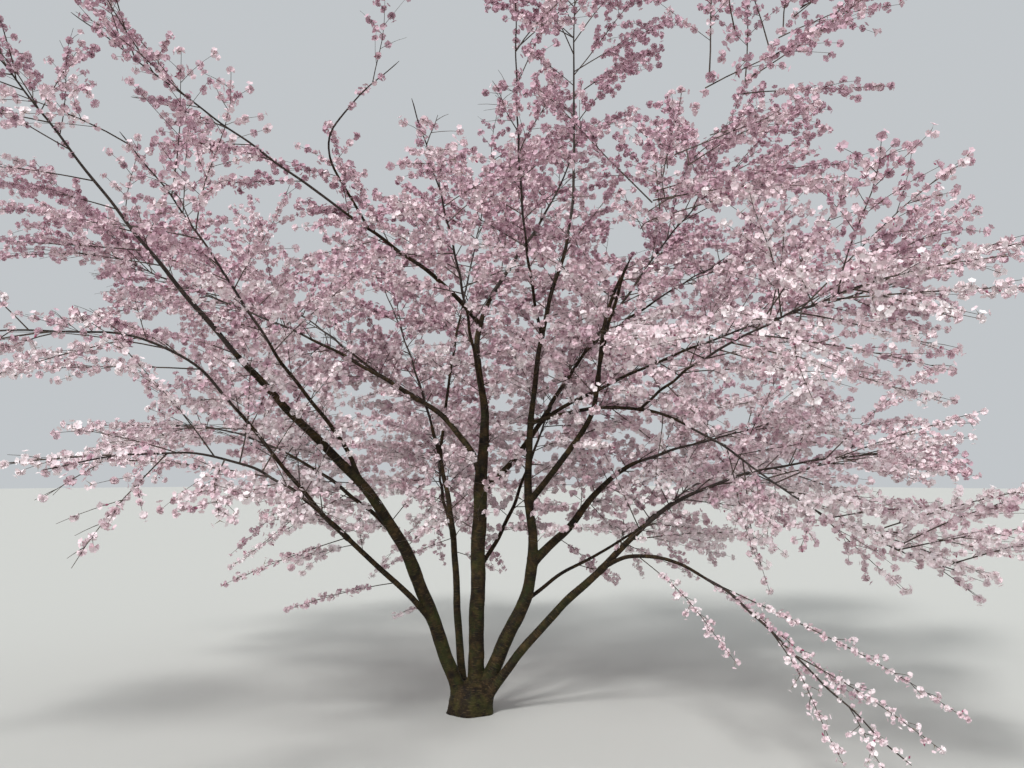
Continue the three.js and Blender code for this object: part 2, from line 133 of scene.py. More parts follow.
LIMBS = [
    ("stem_left", None, (52, 185), 5450, 0.5, [46, 42, 28, 19, 12, 8, 4],
     [-165, -158, -160, -160, -158, -158, -160], [72, 67, 43, 48, 51, 52, 46]),
    ("stem_centre", None, (26, 0), 4750, 0.6, [52, 49, 45, 23, 17, 12, 8, 4],
     [0, 0, 0, 130, 60, 35, 42, 50], [88, 89, 88, 76, 52, 52, 60, 70]),
    ("stem_right", None, (56, 5), 5380, 0.6, [50, 45, 30, 21, 16, 13, 11, 9, 7, 4],
     [0, 0, 0, 45, 30, 20, 60, 90, 60, 20], [70, 62, 98, 84, 80, 70, 84, 89, 88, 86]),
    ("stem_spreading", None, (78, -20), 3500, 0.46, [30, 28, 25, 18, 12, 9, 7, 4],
     [-8, -14, -22, -24, -6, 4, 6, 6], [56, 50, 42, 46, 24, 10, 6, 4]),
    ("stem_back", None, (48, 125), 4100, 0.5, [27, 24, 18, 12, 9, 7, 4],
     [125, 100, 112, 118, 118, 116, 116], [73, 74, 60, 54, 50, 42, 36]),
    ("bough_low_left", "stem_left", 560, 4150, 0.46, [20, 16, 12, 9, 7, 6, 4],
     [-143, -148, -145, -150, -162, -164, -166], [45, 40, 50, 48, 0, -4, -2]),
    ("bough_mid_left", "stem_left", 1600, 2850, 0.4, [15, 12, 9, 7, 6, 4],
     [-137, -124, -124, -121, -118, -116], [66, 38, 47, 45, 36, 30]),
    ("bough_back_left_low", "stem_left", 1180, 2900, 0.4, [15, 12, 9, 7, 6, 4],
     [150, 146, 149, 151, 152, 152], [35, 28, 20, 12, 0, -6]),
    ("bough_front_left", "bough_low_left", 850, 2400, 0.36, [12, 9, 7, 6, 4],
     [-114, -106, -108, -114, -118], [32, 22, 12, -2, -12]),
    ("bough_far_left", "stem_centre", 1490, 4150, 0.44, [22, 17, 12, 9, 7, 6, 4],
     [135, 151, 159, 164, 168, 168, 168], [60, 29, 28, 23, 21, 24, 24]),
    ("bough_high_left", "stem_centre", 2590, 3150, 0.4, [17, 13, 9, 7, 6, 4],
     [-133, -146, -152, -153, -155, -156], [42, 27, 30, 30, 32, 32]),
    ("bough_top_left", "bough_high_left", 1060, 1500, 0.36, [9, 8, 6.5, 5, 4],
     [180, -150, -30, -20, -15], [65, 54, 42, 34, 28]),
    ("bough_high_right", "stem_centre", 1380, 4000, 0.46, [22, 17, 13, 10, 8, 7, 5, 4],
     [25, 35, 44, 41, 38, 30, 26, 22], [34, 53, 48, 44, 50, 46, 42, 38]),
    ("bough_back_right", "stem_centre", 865, 3250, 0.4, [15, 12, 9, 7, 6, 4],
     [55, 63, 66, 68, 68, 68], [35, 49, 46, 36, 26, 20]),
    ("bough_back_left", "bough_far_left", 840, 2800, 0.36, [12, 10, 8, 6.5, 5, 4],
     [138, 128, 128, 129, 130, 130], [25, 24, 26, 24, 20, 18]),
    ("bough_front", "stem_centre", 2050, 2350, 0.34, [12, 9.5, 7.5, 5.5, 4],
     [-100, -97, -97, -99, -100], [42, 38, 32, 28, 24]),
    ("bough_outer_right", "bough_high_right", 690, 2950, 0.42, [14, 11, 9, 7, 5.5, 4],
     [12, 6, 3, 2, 2, 2], [30, 25, 22, 18, 15, 12]),
    ("bough_far_right", "bough_high_right", 1380, 2750, 0.36, [11, 9.5, 8, 6.5, 5, 4],
     [48, 45, 43, 42, 42, 42], [30, 28, 28, 25, 21, 18]),
    ("bough_low_right", "stem_right", 980, 2950, 0.4, [30, 22, 13, 9, 6, 4],
     [22, 38, 33, 24, 18, 14], [36, 44, 16, 12, 16, 18]),
    ("bough_upper_right", "stem_right", 1370, 3800, 0.46, [22, 18, 13, 10, 8, 6.5, 5, 4],
     [-40, -40, -82, -40, -28, -31, -34, -34], [47, 45, 75, 60, 52, 50, 48, 46]),
    ("bough_arching", "stem_right", 1900, 2850, 0.4, [14, 11, 8, 6.5, 5, 4],
     [-38, -31, -40, -41, -39, -38], [16, 2, -26, -36, -24, -16]),
    ("bough_top_front", "stem_right", 2500, 2250, 0.32, [11, 9, 7, 5.5, 4],
     [-112, -104, -96, -92, -90], [58, 56, 54, 52, 50]),
    ("bough_back_right_low", "stem_right", 720, 2900, 0.4, [13, 10.5, 8.5, 6.5, 5, 4],
     [40, 31, 44, 49, 50, 50], [30, 19, 24, 20, 12, 6]),
    ("bough_front_right", "bough_upper_right", 1000, 2450, 0.34, [12, 9.5, 7.5, 5.5, 4],
     [-84, -76, -72, -72, -72], [50, 43, 38, 34, 30]),
    ("bough_front_right_low", "bough_arching", 820, 2350, 0.34, [9, 8, 6.5, 5, 4],
     [-80, -74, -71, -71, -72], [14, 14, 10, 6, 2]),
    ("bough_trailing", "stem_spreading", 1200, 2500, 0.4, [14, 11, 8, 6.5, 5, 4],
     [-54, -62, -59, -64, -70, -72], [28, 0, -18, -29, -22, -20]),
    ("bough_back_low", "stem_back", 1120, 2750, 0.38, [13, 10.5, 8, 6.5, 5, 4],
     [108, 99, 96, 95, 96, 96], [35, 25, 18, 10, 5, 0]),
    ("bough_back_high", "stem_back", 1750, 3100, 0.4, [12, 10.5, 9, 7, 5.5, 4],
     [80, 76, 72, 72, 75, 76], [70, 67, 63, 62, 62, 62]),
]
TRAILING_LIMB = "bough_trailing"

# Where limbs meet, the wood is smoothly joined: most of all at the foot, where stems crowd.
# Creases run down the foot between the groups of stems: the heading of each from the front, and
# its half width, in radians

BLEND = 0.007
FOOT_BLEND = 0.02
FOOT_BLEND_HEIGHT = 0.14
CREASES = [(-0.3, 0.34), (2.75, 0.5)]
CREASE_DEPTH = 0.1
OLD_WOOD_RADIUS = 0.025
OLD_WOOD_RANGE = 0.06

# Bark mesh: how closely the limbs are sampled and how far they act, how its vertices are drawn to
# them, which part of a voxel counts as ground, and how clear wood closes in at its end

SAMPLE_SPACING = 0.01
FIELD_REACH = 0.09
FIELD_DEPTHS = (-0.02, 1)
FITTING_ROUNDS = 3
FITTING_STEP = 0.01
GROUND_BAND = 0.75
CLOSING_LENGTH = 0.08
CLOSING_GIRTH = 0.86
BAR_END_GIRTH = 0.8

# Sides of the bars and tubes that the wood is made of, from the foot to the side twigs, and the
# foot's rings: those up its side, and how wide those on its rounded top are

FOOT_SIDES = 44
FOOT_RINGS = 9
TOP_RINGS = (0.75, 0.5, 0.25)
LIMB_SIDES = 14
BOUGH_END_SIDES = 6
TWIG_SIDES = 3

# Finer growth, which only this scene has, in metres and degrees: how far a twig of the source's
# runs and spreads in its spray, twigs between the source's, the bends of all twigs, short ones on
# the clear wood, the limbs' own fine ends, and side twigs

SPRAY_END = 0.92
SPRAY_SPREAD = 1.5

FINE_TWIGS_PER_METRE = 12.5
FINE_TWIG_PLACES = (0.02, 0.96, 0.6)
FINE_TWIG_ANGLES = (50, -20, 14)
FINE_TWIG_REACHES = (0.55, 0.75)
FINE_TWIG_RADIUS = 0.003
FINE_TWIG_START = 0.03
FINE_TWIG_SPREAD = 0.25
SHORTEST_FINE_TWIG = 0.12

SHORTEST_TWIG = 0.1
LONG_TWIG = 0.4
SHORT_TWIG_CLEAR = 0.12
LONG_TWIG_CLEAR = 0.2
LEAST_TWIG_GIRTH = 0.35
GIRTH_PER_METRE = 0.8
TWIG_END_RADIUS = 0.0014
TWIG_POINTS = 7
TWIG_MIDDLE = 4
TWIG_SWAY = 0.05
TWIG_WAVES = 1.4
TWIG_RISE = 0.04
TWIG_NODS = (0.05, 0.06)

INNER_TWIGS_PER_METRE = 14
INNER_START = 0.28
INNER_PLACES = (INNER_START, 1 - INNER_START, 1)
INNER_ANGLES = (44, 0, 26)
INNER_REACHES = (0.25, 0.45)
INNER_SPREAD = 0.8
INNER_HEIGHT = 1.04
OWN_WOOD_RADII = 2.5
OWN_WOOD_MARGIN = 0.02

BOUGH_END_OVERLAP = 0.035
BOUGH_END_STEP = 0.045
BOUGH_END_SWELL = 0.25
BOUGH_END_GIRTHS = (0.85, 1.0, 0.7)

TWIGLET_START_RADIUS = 0.002
TWIGLET_END_RADIUS = 0.001
TWIGLET_SPACING = 0.085
TWIGLET_END = 0.95
TWIGLET_TURN = 1.3
TWIGLET_ANGLES = (42, -12, 16)
TWIGLET_REACHES = (0.45, 0.75)
TWIGLET_REACH = 0.34
TWIGLET_FLATTENING = 0.65
TWIGLET_LIFT = 0.03
TWIGLET_BEND = 0.12
TWIGLET_DROOP = 0.1
TWIGLET_CLEAR = 0.15
TWIGLET_POINTS = 4
TWIGLET_TRIMS = (1, 0.72, 0.48)

# Slim shoots that trail below the crown, by limb, in millimetres and degrees: where along it,
# length, heading and climb. They are less vigorous than twigs, and their umbels stand in clumps

SHOOTS = {
    "bough_trailing": [
        (380, 950, -60, -25), (800, 1200, -52, -24), (1050, 1350, -42, -20),
        (1500, 800, -78, -30), (1700, 750, -46, -22), (2100, 420, -84, -28),
    ],
    "bough_low_left": [(400, 700, 180, -10), (850, 780, 178, -19), (1150, 500, -176, -36)],
    "stem_left": [(700, 220, -172, -20)],
    "bough_back_left_low": [
        (500, 900, 176, -30), (800, 1000, 150, -34), (1200, 1100, 166, -36),
    ],
    "stem_back": [(1000, 650, 60, -16), (1100, 600, 160, -20)],
    "bough_back_low": [
        (300, 950, 58, -28), (550, 1050, 132, -36), (850, 1150, 92, -38), (1200, 1250, 74, -38),
    ],
    "bough_low_right": [(250, 700, 58, -24), (600, 900, 50, -36), (1000, 850, 20, -38)],
    "bough_back_right_low": [(500, 750, 60, -14), (900, 800, 36, -20), (1250, 900, 62, -26)],
}
SHOOT_REACH = 0.1
SHOOT_VIGOUR = 0.8
CLUMP_SPACING = 0.16
CLUMPING = 0.8

# The photograph's viewpoint, the gaps of the crown as it shows them, and the parts where the
# sky shows through: the middle and the two half widths of each, in pixels, and for a thin part
# the share of its twigs that is left

CAMERA_PLACE = (0.273, -6.2, 1.6)
CAMERA_PITCH = 4.96
FOCAL_PIXELS = 930
IMAGE_SIZE = (1024, 768)
CROWN_GAPS = [
    (35, 12, 45, 42), (165, 2, 60, 28), (300, 16, 74, 40), (448, 62, 66, 72),
    (135, 116, 40, 22), (50, 285, 62, 34), (712, 118, 22, 18), (625, 240, 22, 22),
    (0, 570, 95, 95),
]
THIN_PARTS = [
    (78, 122, 88, 50, 0.14), (45, 50, 50, 50, 0.4), (228, 72, 66, 50, 0.4),
    (350, 85, 66, 84, 0.12), (538, 44, 36, 80, 0.25), (735, 42, 40, 36, 0.4),
    (672, 80, 40, 66, 0.4), (800, 40, 56, 70, 0.2), (165, 178, 75, 40, 0.45),
    (455, 145, 70, 30, 0.2), (30, 440, 165, 112, 0.2), (205, 500, 70, 50, 0.4),
]

# A gap is clear of twigs up to its core, and of umbels up to an edge that varies. Umbels in front
# of a limb that shows as wood, or within a margin of it in pixels, are mostly left out

GAP_CORE = 0.7
GAP_EDGE = (0.6, 1.3)
OPEN_WOOD_START = 0.15
OPEN_WOOD_RADIUS = 0.006
OPEN_WOOD_MARGIN = 4.5
OPEN_WOOD_SHARE = 0.87

# Umbels: how far they lean along a twig and along a stem, where on the clear wood they start, and
# how deep they are sunk in it

UMBEL_LEAN = 0.35
STEM_UMBEL_LEAN = 0.3
STEM_UMBEL_START = 0.8
STEM_UMBEL_SINK = 0.8

# How deep a tint is follows the height, from a lowest one over a rise, the spray, chance and a
# lack of vigour. Deeper tints higher in the crown are painted shade, for its shaded upper part

PAINTED_SHADE_HEIGHTS = (1.0, 4.2)
TINT_WEIGHTS = (0.75, 0.4, 0.5, 0.9)

# Flowers: how many in an umbel, how far they lean out of it, in degrees, and nod, their size and
# stalks, and how large they are at two depths along Y: those next to the viewpoint are smaller,
# because they would stand out too large

FLOWERS_IN_UMBEL = (3, 8)
FLOWER_LEAN = (15, 100)
FLOWER_NOD = 0.1
FLOWER_SIZES = (0.84, 1.14)
SIZE_BY_DEPTH = ((-2.8, 0.2), (0.78, 1.0))
STALKED_SHARE = 0.24
STALK_LENGTHS = (0.016, 0.034)
BUD_SHARE = 0.1
BUD_SIZES = (0.008, 0.012)
BUD_OFFSET = 0.012
BUD_SCATTER = 0.9

# Each kind of random choice has a seed of its own, so that a change to one leaves the others

SEEDS = {
    "finer twigs": 100, "inner twigs": 200, "bends": 300,
    "thinning": 7, "openings": 5, "flowers": 11, "buds": 23,
}

# Studio: the lamps' tilt and heading in degrees, share of the key light, and spread in degrees,
# and the lens, in millimetres

LAMPS = {"key": (42, -28, 1.0, 12), "fill": (62, 120, 0.2, 60)}
SURROUNDINGS_STRENGTH = 0.7
FLOOR_RADIUS = 66
SENSOR_WIDTH = 36
VIEW_LIMIT = 300

UP = np.array([0.0, 0.0, 1.0])
EAST = np.array([1.0, 0.0, 0.0])


def along(values, share):
    """The number or point at shares from 0 to 1 of an evenly spaced row of them."""
    values = np.asarray(values)
    places = np.linspace(0, 1, len(values))
    if values.ndim == 1:
        return np.interp(share, places, values)
    return np.stack([np.interp(share, places, axis) for axis in values.T], axis=-1)


def unit(vectors):
    return vectors / np.linalg.norm(vectors, axis=-1, keepdims=True)


def dice(seed):
    """The source's own random rolls, so that its twigs come out the same here."""
    state = (seed + 11) * 2654435761 % 2**32

    def roll():
        nonlocal state
        state = (state * 1664525 + 1013904223) % 2**32
        return state / 2**32

    return roll


def directions(heading, climb):
    heading, climb = np.radians(heading), np.radians(climb)
    level = np.cos(climb)
    return np.stack([level * np.cos(heading), level * np.sin(heading), np.sin(climb)], axis=-1)


class Limb:
    """A stem or bough: its path in metres and its girth."""

    def __init__(self, order, parent, name, place, length, bare, girth, heading, climb):
        self.name = name
        self.order = order
        self.parent = parent
        self.length = length / 1000
        self.bare = bare
        self.trailing = name == TRAILING_LIMB
        self.girth = np.array(girth) / 1000
        if parent:
            share = place / 1000 / parent.length
            start = parent.point(share)
            self.parent_radius = float(parent.radius(share))
        else:
            distance, turn = place
            start = directions(turn, 0) * distance / 1000 + UP * STEM_ROOT_HEIGHT
        self.path = self.walk(start, np.unwrap(heading, period=360), climb)

    def walk(self, start, headings, climbs):
        count = math.ceil(round(self.length / STEP, 6))
        share = (np.arange(count) + 0.5) / count
        swing = 2 * math.pi * share * self.length / SWAY_LENGTH + self.order
        heading = along(headings, share) + 2 * SWAY * np.sin(swing)
        climb = along(climbs, share) + SWAY * np.cos(0.7 * swing)
        steps = directions(heading, climb) * self.length / count
        return np.vstack([start, start + np.cumsum(steps, axis=0)])

    def point(self, share):
        return along(self.path, share)

    def direction(self, share):
        return unit(self.point(share + 0.02) - self.point(share - 0.02))

    def radius(self, share):
        """The limb's radius, with a collar where it leaves its parent."""
        size = along(self.girth, share)
        if not self.parent:
            return size
        swell = COLLAR_SWELL * np.exp(-share * self.length / (COLLAR_REACH * self.parent_radius))
        return np.minimum(size * (1 + swell), COLLAR_LIMIT * self.parent_radius)


class Mass:
    """The space that a limb's blossom grows in, and the limb's own stem through it."""

    def __init__(self, limb):
        self.limb = limb
        self.order = limb.order
        self.start = limb.bare + FORK_GAP / limb.length
        self.length = limb.length * (1 - limb.bare)
        self.centre = limb.point((1 + limb.bare) / 2)

    def share(self, place):
        return self.start + (1 - self.start) * place

    def reach(self, place):
        """How far a twig reaches at a place along the mass: furthest a third of the way up."""
        widest = min(TWIG_REACH, TWIG_SHARE_OF_MASS * self.length)
        return widest * (1 - 1.1 * (place - 0.35) ** 2)


def gaps_to(points, start, end):
    """How far points lie from the straight line between two ends."""
    run = end - start
    share = np.clip((points - start) @ run / (run @ run), 0, 1)
    return np.linalg.norm(points - start - share[:, None] * run, axis=1)


class Crown:
    """All limbs and masses, and the tests that keep a twig or spray in its own space."""

    def __init__(self):
        self.limbs = {}
        for order, (name, parent, *row) in enumerate(LIMBS):
            self.limbs[name] = Limb(order, self.limbs.get(parent), name, *row)
        self.masses = [Mass(limb) for limb in self.limbs.values()]
        self.centres = np.array([mass.centre for mass in self.masses])
        beads = []
        for mass in self.masses:
            beads.append(self.beads_along(mass.limb, 0, mass.start, -1))
            beads.append(self.beads_along(mass.limb, mass.start, 1, mass.order))
        self.bead_points, self.bead_radii, self.bead_owners = map(np.concatenate, zip(*beads))

    def beads_along(self, limb, start, end, owner):
        count = math.ceil((end - start) * limb.length / BEAD_SPACING)
        share = np.linspace(start, end, count + 1)
        return limb.point(share), limb.radius(share), np.full(count + 1, owner)

    def inside(self, mass, points, margin):
        """Whether each point is above the ground and nearest to this mass's middle."""
        points = np.atleast_2d(points)
        others = np.delete(self.centres, mass.order, axis=0)
        between = others - mass.centre
        middles = (others + mass.centre) / 2
        offsets = middles[None] - points[:, None]
        depth = (offsets * between).sum(axis=2) / np.linalg.norm(between, axis=1)
        low, high = (np.array(corner) for corner in cad_box)
        reached = ((points > low - BOX_MARGIN) & (points < high + BOX_MARGIN)).all(axis=1)
        return (depth > margin).all(axis=1) & (points[:, 2] >= GROUND_CLEARANCE) & reached

    def twig_is_free(self, mass, start, end, radius):
        if not self.inside(mass, np.array([start, end]), radius + SPACE_MARGIN).all():
            return False
        others = self.bead_owners != mass.order
        gaps = gaps_to(self.bead_points[others], start, end)
        return bool((gaps > self.bead_radii[others] + radius + LIMB_MARGIN).all())

    def spray_is_free(self, mass, centre, axes, halves):
        corners = np.vstack([centre + axes * halves[:, None], centre - axes * halves[:, None]])
        if not self.inside(mass, corners, SPACE_MARGIN).all():
            return False
        others = self.bead_owners != mass.order
        slope = np.linalg.norm(1 / halves)
        depth = (np.abs((self.bead_points[others] - centre) @ axes.T) / halves).sum(axis=1)
        return bool((depth > 1 + (self.bead_radii[others] + LIMB_MARGIN) * slope).all())


@functools.lru_cache(maxsize=1)
def crown():
    return Crown()


# Twigs


def place_along(places, number, count, roll):
    """Where one of several twigs starts, evenly spaced but for chance."""
    first, run, chance = places
    return first + run * (number + chance * roll()) / count


def angle_at(angles, place, roll):
    """A twig's angle to its stem, which changes with its place."""
    first, change, chance = angles
    return math.radians(first + change * place + chance * roll())


def varied(values, roll):
    least, chance = values
    return least + chance * roll()


def twig_axes(run, turn=0.0):
    """Three axes as rows: along the run, level across it and turned, and the third."""
    forward = unit(run)
    level = np.cross(forward, UP)
    side = unit(level) if np.linalg.norm(level) > 0.05 else EAST
    third = np.cross(forward, side)
    side = side * math.cos(turn) + third * math.sin(turn)
    return np.array([forward, side, np.cross(forward, side)])


def twig_run(stem_run, angle, turn):
    """A twig leaves its stem at an angle, at a turn round it, and lies flatter than that."""
    forward, side, third = twig_axes(stem_run)
    run = forward * math.cos(angle)
    run = run + (side * math.cos(turn) + third * math.sin(turn)) * math.sin(angle)
    run[2] = run[2] * FLATTENING + TWIG_LIFT
    return unit(run)


def fitting_spray(mass, centre, run, scale, turn):
    """Half the spray's length, width and thickness, trimmed until it fits."""
    axes = twig_axes(run, turn)
    for trim in TRIM_STEPS:
        halves = SPRAY_SIZE * scale * trim / 2
        if crown().spray_is_free(mass, centre, axes, halves):
            return halves
    return None


def source_twig(mass, place, turn, roll):
    """A twig where the source has one: its start, direction, length and spread of side twigs."""
    share = mass.share(place)
    start = mass.limb.point(share)
    angle = angle_at(TWIG_ANGLES, place, roll)
    run = twig_run(mass.limb.direction(share), angle, turn)
    reach = mass.reach(place) * varied(TWIG_REACHES, roll)
    scales, tilts = zip(*((varied(SPRAY_SCALES, roll), roll()) for _ in SPRAY_PLACES))
    for trim in TRIM_STEPS:
        centres = [start + run * distance * reach * trim for distance in SPRAY_PLACES]
        if not crown().twig_is_free(mass, start, centres[1], TWIG_START_RADIUS):
            continue
        inner, outer = (
            fitting_spray(mass, centre, run, trim * scale, (tilt - 0.5) * SPRAY_TILT)
            for centre, scale, tilt in zip(centres, scales, tilts)
        )
        length = SPRAY_PLACES[1] * reach * trim
        # The twig runs nearly to the end of its outer spray, or stops where that one would be
        if outer is not None:
            return start, run, length + SPRAY_END * outer[0], SPRAY_SPREAD * outer[1]
        if inner is not None:
            return start, run, length, SPRAY_SPREAD * inner[1]
    return None


def finer_twig(mass, start, stem_run, angle, turn, reach):
    """A twig between the source's, shortened until it fits the space."""
    run = twig_run(stem_run, angle, turn)
    for trim in TRIM_STEPS:
        length = reach * trim
        if length < SHORTEST_FINE_TWIG:
            return None
        ends = start + run * FINE_TWIG_START, start + run * length
        if crown().twig_is_free(mass, *ends, FINE_TWIG_RADIUS):
            return start, run, length, TWIGLET_REACH * min(1, FINE_TWIG_SPREAD + length)
    return None


def inner_twig(mass, start, stem_run, angle, turn, reach, radius):
    """A short twig on clear wood: any mass's space will do, but it keeps off other limbs."""
    run = twig_run(stem_run, angle, turn)
    wood = crown().bead_points
    own_reach = OWN_WOOD_RADII * radius + OWN_WOOD_MARGIN
    own = np.linalg.norm(wood - start, axis=1) < own_reach
    for trim in TRIM_STEPS:
        end = start + run * reach * trim
        free = (own | (gaps_to(wood, start, end) > crown().bead_radii + LIMB_MARGIN)).all()
        if free and end[2] > INNER_HEIGHT:
            return start, run, reach * trim, INNER_SPREAD * TWIGLET_REACH
    return None


def source_twigs(mass):
    roll = dice(mass.order)
    count = math.floor(TWIGS_PER_METRE * mass.length + 0.5)
    first_turn = 2 * math.pi * roll()
    for i in range(count):
        place = place_along(TWIG_PLACES, i, count, roll)
        turn = first_turn + math.radians(GOLDEN_ANGLE * i)
        yield source_twig(mass, place, turn, roll)


def finer_twigs(mass):
    limb = mass.limb
    roll = dice(mass.order + SEEDS["finer twigs"])
    count = round(FINE_TWIGS_PER_METRE * mass.length)
    for i in range(count):
        place = place_along(FINE_TWIG_PLACES, i, count, roll)
        share = mass.share(place)
        turn = math.radians(GOLDEN_ANGLE * i) + roll()
        angle = angle_at(FINE_TWIG_ANGLES, place, roll)
        reach = mass.reach(place) * varied(FINE_TWIG_REACHES, roll)
        yield finer_twig(mass, limb.point(share), limb.direction(share), angle, turn, reach)


def inner_twigs(mass):
    """Short twigs on the outer part of the limb's clear wood, longer towards its end."""
    limb = mass.limb
    roll = dice(mass.order + SEEDS["inner twigs"])
    count = round(INNER_TWIGS_PER_METRE * limb.length * limb.bare * (1 - INNER_START))
    for i in range(count):
        share = limb.bare * place_along(INNER_PLACES, i, count, roll)
        turn = math.radians(GOLDEN_ANGLE * i) + roll()
        angle = angle_at(INNER_ANGLES, share, roll)
        reach = varied(INNER_REACHES, roll) * (0.6 + 0.6 * share / limb.bare)
        start, radius = limb.point(share), float(limb.radius(share))
        if start[2] > INNER_HEIGHT:
            yield inner_twig(mass, start, limb.direction(share), angle, turn, reach, radius)


def shoots(mass):
    """The slim shoots that trail from this limb."""
    for at, length, heading, climb in SHOOTS.get(mass.limb.name, ()):
        start = mass.limb.point(at / 1000 / mass.limb.length)
        yield start, directions(heading, climb), length / 1000, SHOOT_REACH


def twig_curve(start, run, length, roll):
    """The twig's bends: a slow sway to the side, and a tip that first lifts and then nods."""
    share = np.linspace(0, 1, TWIG_POINTS)
    side = twig_axes(run)[1]
    sway = TWIG_SWAY * length * np.sin(math.pi * (TWIG_WAVES * share + 2 * roll())) * share
    nod = length * (TWIG_RISE * share - varied(TWIG_NODS, roll) * share**2)
    return start + np.outer(share * length, run) + np.outer(sway, side) + np.outer(nod, UP)


def on_curve(curve, share):
    """Points and directions at shares of a curve."""
    step = np.minimum((share * (len(curve) - 1)).astype(int), len(curve) - 2)
    return along(curve, share), unit(curve[step + 1] - curve[step])


def around(runs, turns):
    """Directions square to the runs: level across them, and turned from there."""
    level = unit(np.column_stack([runs[:, 1], -runs[:, 0], np.zeros(len(runs))]) + 1e-6)
    third = np.cross(runs, level)
    return level * np.cos(turns)[:, None] + third * np.sin(turns)[:, None]


# The crown's gaps


def photo_pixels(points):
    """Where points show in the photograph."""
    offset = np.atleast_2d(points) - np.array(CAMERA_PLACE)
    pitch = math.radians(CAMERA_PITCH)
    depth = offset[:, 1] * math.cos(pitch) + offset[:, 2] * math.sin(pitch)
    rise = offset[:, 2] * math.cos(pitch) - offset[:, 1] * math.sin(pitch)
    across = IMAGE_SIZE[0] / 2 + FOCAL_PIXELS * offset[:, 0] / depth
    return across, IMAGE_SIZE[1] / 2 - FOCAL_PIXELS * rise / depth


def place_in(part, across, down):
    """How far pixels lie from the middle of a part of the photograph: 1 on its edge."""
    x, y, half_width, half_height = part
    return np.hypot((across - x) / half_width, (down - y) / half_height)


def gap_place(points):
    """How far each point lies from the middle of the nearest gap: 1 on that gap's edge."""
    seen = photo_pixels(points)
    return np.min([place_in(gap, *seen) for gap in CROWN_GAPS], axis=0)


def share_left(points):
    """The share of the twigs and umbels that is left at each point."""
    seen = photo_pixels(points)
    left = np.ones(len(seen[0]))
    for *part, share in THIN_PARTS:
        left *= np.interp(place_in(part, *seen), GAP_EDGE, (share, 1))
    return left


def cut_at_gap(curve):
    """The curve up to where it enters a gap of the crown, and the share of it that is left."""
    hidden = gap_place(curve) < GAP_CORE
    if not hidden.any():
        return curve, 1.0
    share = max(0, hidden.argmax() - 1) / (len(curve) - 1)
    return along(curve, np.linspace(0, share, len(curve))), share


def open_wood(limb):
    """Where a limb's visible wood shows in the photograph, with its depth and half width."""
    end = limb.bare if limb.trailing else 1
    share = np.linspace(OPEN_WOOD_START, end, math.ceil(limb.length / BEAD_SPACING))
    points, radii = limb.point(share), limb.radius(share)
    points, radii = points[radii > OPEN_WOOD_RADIUS], radii[radii > OPEN_WOOD_RADIUS]
    depth = points[:, 1] - CAMERA_PLACE[1]
    return np.column_stack([*photo_pixels(points), depth, FOCAL_PIXELS * radii / depth])


def hides_wood(points, block=4000):
    """Whether each point lies in front of a limb in the photograph, in blocks to save memory."""
    wood = np.vstack([open_wood(limb) for limb in crown().limbs.values()])
    seen = np.column_stack(photo_pixels(points))
    depth = points[:, 1] - CAMERA_PLACE[1]
    hides = np.zeros(len(points), bool)
    for first in range(0, len(points), block):
        part = slice(first, first + block)
        apart = np.linalg.norm(seen[part, None] - wood[None, :, :2], axis=2)
        near = (apart < wood[:, 3] + OPEN_WOOD_MARGIN) & (depth[part, None] < wood[:, 2])
        hides[part] = near.any(axis=1)
    return hides


